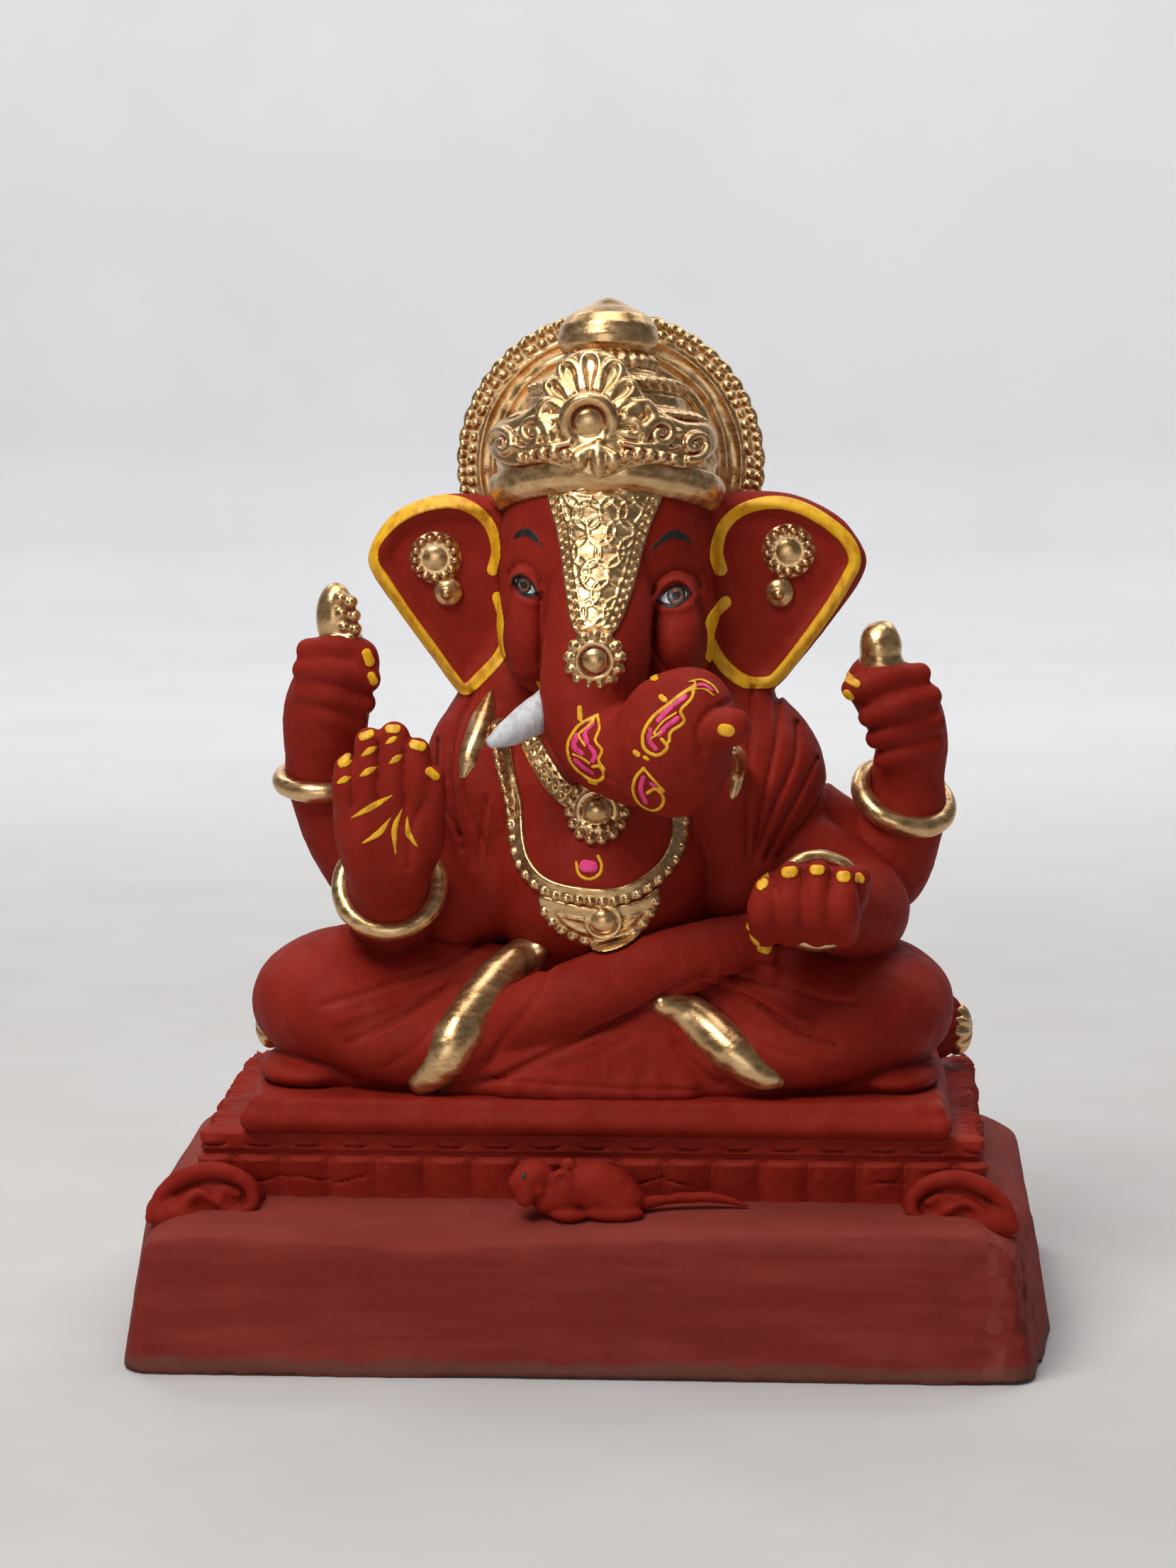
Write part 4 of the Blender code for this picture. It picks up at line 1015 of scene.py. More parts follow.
def scroll_form(side):
    """A corner volute: a flat shell whose rim curls in on itself."""
    coil = [(118.0, 39.5), (114.5, 46.6), (107.6, 51.4), (98.6, 52.4), (91.4, 49.0), (90.2, 43.6),
            (94.4, 41.0), (99.0, 43.6), (97.6, 47.4), (94.2, 46.0)]
    inner = [(99.5, 44.0), (104.6, 46.6), (109.4, 43.4), (112.4, 39.5)]
    lump = [egg((side * 102.0, -62.5, 43.5), (14.5, 8.0, 8.6)),
            egg((side * 111.0, -65.0, 40.0), (9.0, 8.5, 6.6))]
    rim = limb([(side * x, -70.2 + 0.16 * (z - 40), z) for x, z in coil],
               (1.6, 2.1, 2.4, 2.4, 2.1, 1.8, 1.6, 1.5, 1.2, 1.0))
    fold = limb([(side * x, -70.6, z) for x, z in inner], (1.1, 1.5, 1.5, 1.2))
    return rubbed(rubbed(union([*lump, rim, fold], 1.2), 0.35, 6.0), 0.12, 2.0)


def mouse_form():
    """The mouse on the ledge: nose to the viewer's left, tail running to the right."""
    head = [egg((-12.6, -73.2, 53.0), (5.6, 4.6, 4.6)),
            egg((-15.2, -75.6, 51.6), (4.2, 3.4, 4.4), (0, -18, 0)),
            egg((-14.6, -76.8, 48.4), (2.8, 2.4, 3.0), (0, 24, 0)),
            egg((-11.4, -75.8, 49.6), (2.6, 2.4, 1.7))]
    ears = [carved(egg((-4.6, -75.6, 52.0), (3.7, 1.9, 3.8)), egg((-5.0, -77.6, 52.2), (2.3, 1.2, 2.4)), 0.5),
            egg((-3.4, -73.2, 56.2), (2.3, 1.5, 2.1))]
    body = [egg((4.6, -70.6, 49.0), (11.8, 7.2, 7.6), (0, 12, 0)), egg((9.0, -71.2, 46.2), (8.4, 6.6, 5.6)),
            egg((-6.4, -72.8, 47.2), (7.2, 5.0, 5.4)), egg((9.4, -75.2, 43.4), (8.2, 3.2, 2.2)),
            egg((-3.0, -76.2, 43.0), (5.0, 2.6, 1.9))]
    tail = limb([(15.0, -71.2, 45.0), (21.6, -69.6, 45.8), (27.9, -68.6, 46.4), (34.7, -68.0, 46.6),
                 (39.9, -67.6, 45.8), (45.2, -67.6, 44.2)], (2.2, 1.5, 1.5, 1.4, 1.1, 0.6))
    return rubbed(union([*head, *ears, *body, tail], 1.0), 0.2, 3.0)


def bolster_form():
    """The cushion roll behind the figure."""
    roll = limb([(-90.0, 41.0, 74.5), (AXIS_X, 42.0, 75.0), (97.0, 41.0, 74.5)], (10.5, 12.4, 10.5), 8)

    def measure(p, box):
        around = np.arctan2(p[:, 2] - 74.5, p[:, 1] - 41.0)
        end = np.clip((np.abs(p[:, 0] - AXIS_X) - 62.0) / 20.0, 0, 1)
        return roll.measure(p, box) + end * 0.6 * np.cos(around * 14) + 0.3 * noise(p, 7.0)

    return Form(roll.low, roll.high, measure)


def add_base(clay, dusty):
    add_form("plinth_clay", plinth_form(), BASE_VOXEL, dusty, ("plinth",))
    red_pieces = (
        ("tier_clay", tier_form(), 0.9, ("lotus_tier",)),
        ("tier_petals_clay", petal_band_form(), 0.55, ()),
        ("slab_clay", slab_form(), 0.95, ("seat_slab",)),
        ("corner_scroll_right_clay", scroll_form(-1), 0.6, ("corner_scroll_right",)),
        ("corner_scroll_left_clay", scroll_form(1), 0.6, ("corner_scroll_left",)),
        ("mouse_clay", mouse_form(), 0.5, ("mouse",)),
        ("bolster_clay", bolster_form(), 0.9, ("bolster",)),
    )
    for name, form, voxel, nodes in red_pieces:
        add_form(name, form, voxel * COARSE, clay, nodes)


# ---------------------------------------------------------------- gold relief

def crown_band_form():
    band = [(0, 9.6), (31.0, 9.6), (32.6, 8.6), (33.4, 6.4), (33.0, 3.0), (32.0, 1.0), (30.0, -0.6),
            (0, -0.6)]
    return rubbed(turned(band, CROWN_FOOT, CROWN_TILT, arch=3.6), 0.25, 4.0)


def crown_body_form():
    """The cap: stepped tiers with a rope band and rows of beads round them."""
    cap = [(0, 39.5), (12.0, 39.5), (14.0, 38.6), (15.0, 36.6), (20.2, 35.8), (21.6, 34.0), (20.6, 31.6),
           (22.2, 30.6), (23.0, 27.4), (26.6, 26.4), (27.8, 24.6), (26.8, 22.2), (28.4, 21.0), (29.6, 17.0),
           (30.6, 12.0), (30.6, 9.0), (0, 9.0)]

    def relief(angle, radius, height):
        side = np.clip((radius - 9) / 3, 0, 1)
        rope = np.exp(-((height - 34.0) / 1.7) ** 2) * np.abs(np.sin(angle * 17 + height * 1.1)) * 1.3
        beads = np.exp(-((height - 24.6) / 1.5) ** 2) * np.abs(np.sin(angle * 21)) * 1.2
        leaves = np.clip((height - 11) / 2, 0, 1) * np.clip((22 - height) / 3, 0, 1) \
            * (np.abs(np.sin(angle * 8 + 0.22 * height)) ** 0.7 * 1.5 - 0.5)
        return side * (rope + beads + leaves)

    return rubbed(turned(cap, CROWN_FOOT, CROWN_TILT, relief), 0.2, 3.0)


def crown_neck_form():
    neck = [(0, 44.0), (9.0, 44.0), (12.0, 42.8), (13.4, 41.0), (13.0, 39.4), (0, 38.6)]

    def relief(angle, radius, height):
        return np.clip((radius - 7) / 2, 0, 1) * np.abs(np.sin(angle * 12)) * 1.0

    return turned(neck, CROWN_FOOT, CROWN_TILT, relief)


def crown_kalash_form():
    """The squat pot on top, with a flattened crown and a low pointed lid."""
    pot = [(0, 60.0), (2.0, 59.5), (4.4, 58.4), (6.4, 57.2), (8.6, 56.2), (11.6, 54.4), (13.6, 51.4),
           (14.3, 48.0), (13.9, 45.6), (12.4, 43.8), (10.0, 42.6), (0, 42.0)]
    return rubbed(turned(pot, CROWN_FOOT, CROWN_TILT), 0.15, 5.0)


def spiral(centre, turns, radius, side, start):
    """Front-plane points winding out from a centre."""
    steps = 16
    points = []
    for k in range(steps + 1):
        t = k / steps
        angle = start + side * turns * 2 * math.pi * t
        points.append((centre[0] + radius * t * math.cos(angle), centre[1] + radius * t * math.sin(angle)))
    return points


def crest_form():
    """The crest on the crown's front: a ringed gem in a fan of petals, with scrolls and a leaf."""
    gem = (0.5, 256.2)
    outline = smooth_line([(3.5, 240.8), (11, 243.2), (19, 244.4), (28, 243.0), (35.0, 247.6), (33.0, 254.0),
                           (25.0, 255.8), (17.0, 260.8), (12.0, 267.6), (7.0, 273.4), (0.6, 275.4),
                           (-5.8, 273.2), (-10.5, 267.2), (-14.5, 260.6), (-20.5, 256.2), (-27.5, 253.6),
                           (-29.4, 247.0), (-22, 243.2), (-13, 244.6), (-5, 243.2)], 5, closed=True)

    def base(p, box):
        q = p - np.array(CROWN_FOOT, dtype=np.float32)
        lean = math.radians(CROWN_TILT)
        y = q[:, 1] * math.cos(lean) + q[:, 2] * math.sin(lean)
        z = -q[:, 1] * math.sin(lean) + q[:, 2] * math.cos(lean)
        swell = np.interp(z, [0, 12, 16, 21, 28, 36, 46], [33.6, 33.6, 32.8, 31.6, 29.5, 26.0, 22.0])
        return (np.hypot(q[:, 0], y) - swell).astype(np.float32)

    def plate_top(p, box):
        return base(p, box) - 1.0

    forms = [draped(outline_map(outline, 5), 1.0, base, under=3.0, edge=1.0)]

    def point(x, z, lift):
        return (x, skin_point(plate_top, x, z) - lift, z)

    def raised(line, radii, lift, pattern=6):
        return limb([point(x, z, lift) for x, z in line], radii, pattern)

    centre = point(gem[0], gem[1], 0.6)
    tilt = (90 + 10, 0, 0)
    forms.append(ring(centre, 6.5, 1.9, tilt, 1.3))
    forms.append(egg(centre, (4.3, 2.3, 4.3)))
    for k in range(9):
        turn = math.radians(-100 + 25 * k)
        reach = 14.2 + 3.6 * max(0.0, math.cos(turn)) ** 3
        half_turn = 0.218
        petal = [(-0.62, 8.6), (-0.80, reach - 3.0), (-0.5, reach - 0.6), (0.0, reach), (0.5, reach - 0.6),
                 (0.80, reach - 3.0), (0.62, 8.6)]
        line = [(gem[0] + r * math.sin(turn + s * half_turn), gem[1] + r * math.cos(turn + s * half_turn))
                for s, r in petal]
        forms.append(raised(line, (0.8, 1.0, 1.2, 1.3, 1.2, 1.0, 0.8), 0.3, 3))
    mid = 2.6
    for side in (-1, 1):
        scroll = [(mid + side * 8.4, 258.6), (mid + side * 13.0, 260.8), (mid + side * 15.6, 256.6),
                  (mid + side * 12.4, 253.6), (mid + side * 10.4, 255.8)]
        forms.append(raised(scroll, (1.5, 1.6, 1.6, 1.4, 1.1), 0.5))
        curl = spiral((mid + side * 17.6, 252.4), 1.5, 4.4, side, start=math.pi if side < 0 else 0.0)
        forms.append(raised(curl, tuple(np.linspace(1.0, 1.4, len(curl))), 0.8, 2))
        curl = spiral((mid + side * 26.6, 249.2), 1.4, 4.2, -side, start=0.6)
        forms.append(raised(curl, tuple(np.linspace(1.0, 1.4, len(curl))), 0.9, 2))
        for x, z, size in ((4.8, 245.8, 1.9), (8.2, 246.8, 1.6), (11.4, 247.2, 1.5), (14.6, 246.8, 1.5),
                           (17.8, 246.2, 1.4), (21.0, 245.6, 1.3)):
            forms.append(egg(point(mid + side * x, z, 0.9), (size, size, size * 1.3), (0, side * 30, 0)))
        stem = [(mid + side * 7.4, 250.2), (mid + side * 11.0, 249.4), (mid + side * 14.6, 249.2),
                (mid + side * 19.4, 248.0), (mid + side * 22.8, 248.6)]
        forms.append(raised(stem, (0.9, 1.1, 1.1, 1.0, 0.8), 0.6))
        for x, z in ((22.4, 252.6), (8.6, 252.8), (12.8, 251.4)):
            forms.append(egg(point(mid + side * x, z, 0.4), (1.2, 1.2, 1.2)))
        forms.append(raised([(mid + side * 1.0, 248.6), (mid + side * 4.0, 246.8), (mid + side * 4.6, 244.0)],
                            (1.6, 2.0, 1.3), 0.5))
    forms.append(raised([(3.2, 250.0), (3.4, 246.0), (3.6, 241.6)], (1.5, 2.2, 0.9), 0.6))
    return union(forms, 0.7)


def halo_form():
    """The round plate behind the crown: concentric rings inside a rim of small irregular beads."""
    x0, y0, z0 = HALO_CENTRE

    def measure(p, box):
        x, y, z = p[:, 0] - x0, p[:, 1] - y0, p[:, 2] - z0
        radius, angle = np.hypot(x, z), np.arctan2(x, z)
        wobble = 0.22 * noise(p, 3.2)
        scallop = 0.7 * np.abs(np.sin(angle * 24 + 0.8 * noise(p, 14.0)))
        rim = 0.5 + 0.5 * np.sin(angle * 96 + 3 * noise(p, 9.0))
        front = 1.3 * np.exp(-((radius - 42.8) / 0.9) ** 2) * rim
        beads = np.abs(np.sin(angle * 38 + 1.6 * noise(p, 8.0))) ** 2 * (0.75 + 0.45 * noise(p, 5.0))
        front += 1.35 * np.exp(-((radius - 39.9 - 0.6 * noise(p, 6.0)) / 0.8) ** 2) * beads
        front += 0.7 * np.exp(-((radius - 37.6) / 0.7) ** 2)
        for r, tall in ((33.6, 0.45), (29.8, 0.55), (26.4, 0.35), (22.4, 0.5)):
            front += tall * np.exp(-((radius - r - 0.5 * noise(p, 11.0)) / 0.75) ** 2)
        face = np.abs(y) - 2.5 - np.where(y < 0, front + wobble, 0.2 * noise(p, 5.0))
        return soft_max(radius - HALO_RADIUS + 0.9 - scallop, face, 0.9)

    return Form((x0 - 46, y0 - 6, z0 - 46), (x0 + 46, y0 + 3.2, z0 + 46), measure)


def forehead_plate_form(skin):
    """A tapering plate down the brow: overlapping rings between two beaded edges."""
    outline = smooth_line([(-10.6, 238.4), (4.6, 239.2), (20.3, 238.4), (17.0, 226.0), (13.2, 211.0),
                           (9.0, 201.0), (3.4, 198.6), (-2.6, 201.0), (-5.4, 211.0), (-8.4, 226.0)],
                          6, closed=True)
    rings = []
    for row in range(8):
        z = 236.6 - 5.2 * row
        for column in range(-2, 3):
            shake = math.sin(7.3 * row + 3.1 * column)
            rings.append((4.0 - 0.028 * (237 - z) + (column + 0.5 * (row % 2)) * 6.4 + 0.5 * shake,
                          z + 0.6 * shake))

    def relief(u, v):
        edge = polygon_distance(u, v, outline)
        total = np.zeros(u.shape)
        for x, z in rings:
            gap = np.abs(np.hypot(u - x, v - z) - 4.0)
            total = np.maximum(total, np.exp(-(gap / 0.27) ** 2))
        field = np.clip((-edge - 3.4) / 0.5, 0, 1)
        border = np.exp(-((edge + 1.9) / 0.8) ** 2)
        along = np.sin((v * 1.03 + np.abs(u - 4.0) * 0.3) * 2 * math.pi / 2.7)
        lips = np.exp(-((edge + 0.5) / 0.4) ** 2) + np.exp(-((edge + 3.4) / 0.4) ** 2)
        return 1.0 + 0.42 * total * field + border * (0.25 + 0.65 * along) + 0.35 * lips

    proud = Map(outline.min(axis=0) - 4, outline.max(axis=0) + 4, 0.25, relief)
    return draped(outline_map(outline), proud.read, skin, back=-30.0, under=1.5, edge=0.7)


def rosette_form(skin, centre, petals, radius, disc):
    """A flower boss: scalloped petals round a ringed button."""
    x, z = centre
    y = skin_point(skin, x, z)
    forms = [egg((x, y + 0.6, z), (disc, 3.0, disc)), ring((x, y - 1.2, z), disc + 0.6, 0.8, (90, 0, 0)),
             egg((x, y + 1.6, z), (radius - 1.0, 2.4, radius - 1.0))]
    for k in range(petals):
        angle = 2 * math.pi * k / petals
        out = radius - 2.2
        forms.append(egg((x + out * math.sin(angle), y + 0.4, z + out * math.cos(angle)),
                         (1.9, 2.2, 2.2), (0, math.degrees(angle), 0)))
        forms.append(egg((x + (out + 0.5) * math.sin(angle), y - 1.3, z + (out + 0.5) * math.cos(angle)),
                         (0.8, 0.8, 0.8)))
    return union(forms, 0.4)


def ear_jewel_form(skin, centre, drop, radius):
    """A studded round ear ornament with a ball hanging from it."""
    x, z = centre
    y = skin_point(skin, x, z)
    forms = [egg((x, y + 0.4, z), (radius, 2.6, radius)), egg((x, y - 1.0, z), (4.0, 2.0, 4.0)),
             ring((x, y - 1.6, z), 4.3, 0.55, (90, 0, 0)),
             ring((x, y - 0.4, z), radius - 0.6, 0.5, (90, 0, 0))]
    for k in range(13):
        angle = 2 * math.pi * (k + 0.5) / 13
        out = radius - 1.9
        forms.append(egg((x + out * math.sin(angle), y - 1.4, z + out * math.cos(angle)), (1.25, 1.7, 1.25)))
    forms.append(egg((drop[0], y - 0.4, drop[1]), (4.1, 2.6, 4.3)))
    forms.append(ring((drop[0], y - 1.2, drop[1]), 3.4, 0.6, (90, 0, 0)))
    forms.append(egg((drop[0] - 0.3, y - 2.8, drop[1] - 0.4), (1.5, 1.4, 1.5)))
    return union(forms, 0.35)


LONG_NECKLACE = [(-25.0, 170.0), (-24.2, 163.4), (-22.5, 156.6), (-20.8, 149.7), (-20.0, 141.8),
                 (-18.2, 135.4), (-14.1, 130.4), (-8.2, 127.6), (-1.3, 126.6), (5.0, 126.2),
                 (11.0, 127.0), (16.8, 129.6), (22.2, 134.0), (25.4, 140.2), (26.0, 148.5)]


def long_necklace_form(skin):
    """A flat chain on the belly: an outer row of round beads and a plain inner strip."""
    chain = smooth_line(LONG_NECKLACE, 6)
    normal = np.gradient(chain, axis=0)[:, ::-1] * (-1, 1)
    normal /= np.linalg.norm(normal, axis=1, keepdims=True)
    strip = stroke_map([(chain, np.full(len(chain), 2.3))], step=0.25)
    layer = draped(strip, 1.0, skin, back=-18.0, under=1.2, edge=0.7)
    rim = np.array(on_skin(skin, evenly(chain + normal * 1.9, 3.5), 0.6, back=0.0))
    outer = evenly(chain - normal * 1.3, 3.4)
    beads = [egg(at, (1.3, 1.5, 1.3)) for at in on_skin(skin, outer, 1.0, back=0.0)]
    return union([layer, limb(rim, (0.7,) * len(rim), 3), *beads], 0.4)


def crescent_form(skin):
    """The crescent plaque under the long chain, its lower edge beaded, a ringed button in the middle."""
    outline = smooth_line([(-12.8, 126.2), (-4.8, 124.6), (5.1, 123.4), (14.7, 125.4), (20.0, 128.4),
                           (20.8, 124.4), (18.0, 118.6), (12.8, 114.0), (5.0, 111.4), (-2.6, 112.8),
                           (-8.6, 116.6), (-12.2, 121.4)], 6, closed=True)
    relief = Map(outline.min(axis=0) - 4, outline.max(axis=0) + 4, 0.25,
                 lambda u, v: 1.4 + 0.5 * np.exp(-((polygon_distance(u, v, outline) + 4.0) / 0.5) ** 2))
    layer = draped(outline_map(outline), relief.read, skin, back=-30.0, under=1.5, edge=0.9)
    edge = [(-11.2, 121.6), (-7.6, 117.4), (-2.0, 114.2), (5.0, 112.8), (11.8, 115.0), (16.8, 119.2),
            (19.4, 124.6)]
    studs = [egg(at, (1.5, 1.6, 1.5)) for at in on_skin(skin, evenly(smooth_line(edge, 6), 3.4), 1.5)]
    middle = (5.2, 119.6)
    y = skin_point(skin, *middle)
    button = [egg((middle[0], y - 1.2, middle[1]), (3.8, 2.6, 3.8)),
              ring((middle[0], y - 1.7, middle[1]), 4.6, 0.7, (90, 0, 0))]
    return union([layer, *studs, *button], 0.5)


SHORT_NECKLACE = [(-19.5, 171.0), (-16.4, 166.4), (-12.6, 161.0), (-8.4, 155.6), (-4.2, 152.2)]


def short_necklace_form(skin):
    """A broad short chain of paired beads between two plain edges."""
    chain = smooth_line(SHORT_NECKLACE, 6)
    normal = np.gradient(chain, axis=0)[:, ::-1] * (-1, 1)
    normal /= np.linalg.norm(normal, axis=1, keepdims=True)
    strip = stroke_map([(chain, np.full(len(chain), 2.9))], step=0.25)
    forms = [draped(strip, 0.9, skin, back=-12.0, under=1.2, edge=0.7)]
    for offset in (-1.15, 1.15):
        row = evenly(chain + normal * offset, 2.7)
        forms += [egg(at, (1.0, 1.4, 1.0)) for at in on_skin(skin, row, 0.8, back=0.0)]
    for offset in (-2.6, 2.6):
        line = on_skin(skin, evenly(chain + normal * offset, 3.0), 0.5, back=0.0)
        forms.append(limb(line, (0.65,) * len(line), 3))
    return union(forms, 0.4)


PENDANT = (3.0, 149.4)


def pendant_form(skin):
    """A ball in a ring with a fan of beads below it."""
    x, z = PENDANT
    y = skin_point(skin, x - 4.0, z - 2.0) - 0.6
    forms = [egg((x, y - 0.8, z), (4.2, 3.6, 4.2)), ring((x, y - 1.0, z), 5.2, 0.9, (90, 0, 0))]
    for k in range(15):
        angle = math.radians(24 * k)
        for out, size, proud in ((5.6, 2.4, 0.0), (7.7, 1.7, 0.9)):
            at = (x + out * math.sin(angle), z + out * math.cos(angle))
            depth = max(skin_point(skin, *at), y - 5.0)
            forms.append(egg((at[0], depth - proud, at[1]), (size, 2.2, size)))
    return union(forms, 0.4)


def hem_form(skin, points, widths, rise):
    """A padded strip lying on the skin, its edges rolled under."""
    swell = 1.25
    knots = smooth_line(points, 3)
    spread = smooth_line(np.array(widths)[:, None], 3)[:, 0]
    depth = np.array([skin_point(skin, x, z) for x, z in knots])
    lying = depth.copy()
    for _ in range(12):
        depth[1:-1] = (depth[:-2] + 2 * depth[1:-1] + depth[2:]) / 4
        depth = np.minimum(depth, lying + 0.4)
    sunk = np.maximum(spread * swell - rise, 0)
    line = [(x, y + s, z) for (x, z), y, s in zip(knots, depth, sunk)]
    return rubbed(limb(line, tuple(spread * swell), 3), 0.35, 5.0)


HEMS = {
    "hem_right": ([(-13.6, 108.6), (-18.2, 106.0), (-24.9, 100.6), (-33.4, 89.9), (-40.1, 79.7),
                   (-44.4, 75.6)], (3.0, 4.8, 5.2, 5.5, 4.9, 3.2)),
    "hem_left": ([(21.6, 97.0), (25.2, 95.4), (30.4, 92.2), (38.4, 86.1), (47.2, 79.7), (53.2, 76.8)],
                 (2.4, 4.0, 5.0, 5.1, 4.0, 1.8)),
    "shawl_border_right": ([(-28.3, 178.0), (-29.6, 172.4), (-31.4, 166.0), (-33.2, 160.8), (-34.8, 157.0)],
                           (1.0, 2.6, 3.2, 2.6, 1.0)),
    "shawl_border_left": ([(41.0, 170.0), (41.8, 163.9), (41.4, 157.0), (40.3, 152.0)], (1.0, 1.9, 1.8, 0.9)),
}


def tusk_form():
    line = [(-7, -46, 180.5), (-13, -53, 177.0), (-19.0, -58, 173.4), (-24.2, -60.5, 170.6)]
    return rubbed(limb(line, (5.2, 5.0, 4.0, 2.0)), 0.2, 3.0)


def emblem_right_form():
    """A tall rounded finial, smooth on one side and clustered with grapes on the other."""
    forms = [egg((-72.6, -8, 199.0), (5.6, 6.0, 9.8)), egg((-71.0, -8.5, 192.4), (6.4, 6.4, 4.0))]
    grapes = [(-67.8, 203.6), (-66.9, 199.8), (-66.6, 196.0), (-70.2, 200.4), (-69.6, 196.6), (-68.4, 193.2),
              (-70.6, 204.6)]
    forms += [egg((x, -12.2, z), (1.9, 2.6, 1.9)) for x, z in grapes]
    return union(forms, 0.8)


def emblem_left_form():
    knob = [egg((81.0, -9, 191.6), (5.9, 6.2, 7.4)), egg((81.4, -9, 186.6), (6.5, 6.4, 3.6))]
    return rubbed(union(knob, 1.5), 0.3, 4.0)


def cap_form(side):
    """The gathered end of the bolster."""
    cap = egg((AXIS_X + side * 101.5, 41.0, 73.0), (4.5, 7.5, 7.5))

    def measure(p, box):
        around = np.arctan2(p[:, 2] - 73.0, p[:, 1] - 41.0)
        return cap.measure(p, box) + 0.4 * np.cos(around * 11)

    return Form(cap.low, cap.high, measure)


BANGLES = {
    "rear_right_bangle": ((-77.5, 1, 151.5), 11.6, 3.0, (12, 0, 0)),
    "rear_left_bangle": ((88.0, 1, 147.5), 12.6, 3.1, (30, 20, 0)),
    "front_right_bangle": ((-54.7, -40, 127.3), 13.4, 2.9, (58, 0, 0)),
    "front_left_bangle": ((64.0, -47, 125.4), 11.8, 2.3, (80, 0, 8)),
}


def add_gold(skin, gold):
    def trim(name, form, voxel=TRIM_VOXEL, under=None):
        add_form(name + "_gold", form, voxel, gold, (name,), under or skin)

    crown = {"crown_band": crown_band_form(), "crown_body": crown_body_form(),
             "crown_neck": crown_neck_form(), "crown_kalash": crown_kalash_form()}
    for name, form in crown.items():
        trim(name, form, TRIM_VOXEL * 1.2)
    cap = union(crown.values(), 0.3)
    trim("crown_front", crest_form(), under=cap.distance)
    trim("halo", halo_form(), TRIM_VOXEL * 1.15)
    trim("forehead_plate", forehead_plate_form(skin), TRIM_VOXEL * 0.85)
    trim("forehead_rosette", rosette_form(skin, (3.4, 193.0), 13, 8.7, 4.2))
    trim("ear_jewel_right", ear_jewel_form(skin, (-44.2, 216.0), (-40.6, 206.4), 7.6))
    trim("ear_jewel_left", ear_jewel_form(skin, (55.0, 218.4), (52.6, 206.6), 7.8))
    trim("long_necklace", long_necklace_form(skin))
    trim("necklace_plate", crescent_form(skin))
    trim("short_necklace", short_necklace_form(skin))
    trim("pendant", pendant_form(skin))
    for name, (points, widths) in HEMS.items():
        trim(name, hem_form(skin, points, widths, 3.5 if name.startswith("hem") else 1.2))
    for name, (centre, radius, tube, tilt) in BANGLES.items():
        trim(name, rubbed(ring(centre, radius, tube, tilt), 0.15, 4.0), TRIM_VOXEL * 1.2)
    trim("emblem_right", emblem_right_form())
    trim("emblem_left", emblem_left_form())
    for side, name in ((-1, "bolster_cap_right"), (1, "bolster_cap_left")):
        trim(name, cap_form(side), TRIM_VOXEL * 1.4)


# ---------------------------------------------------------------- paint

# Strokes in the front plane: the points of each and its half widths, in millimetres.

EAR_BANDS = [
    ([(-28.0, 212.6), (-26.8, 218.2), (-28.4, 224.5), (-32.6, 229.4), (-38.9, 231.8), (-46.9, 230.8),
      (-54.9, 227.0), (-61.0, 220.3), (-61.6, 214.6), (-58.4, 209.4), (-52.6, 200.6), (-45.2, 190.4),
      (-39.1, 181.9), (-35.7, 178.9), (-31.1, 182.8), (-26.1, 188.3), (-24.0, 193.4), (-25.1, 199.9),
      (-26.6, 204.8)],
     1.75),
    ([(36.2, 213.0), (35.0, 218.6), (37.1, 225.7), (43.4, 230.6), (52.5, 232.0), (61.4, 229.2), (70.2, 222.9),
      (73.6, 216.4), (71.4, 210.6), (66.6, 202.4), (59.7, 192.6), (52.8, 183.7), (49.2, 181.4), (42.8, 182.0),
      (36.4, 187.2), (33.0, 193.8), (34.2, 200.4), (37.4, 203.8)], 1.8),
]

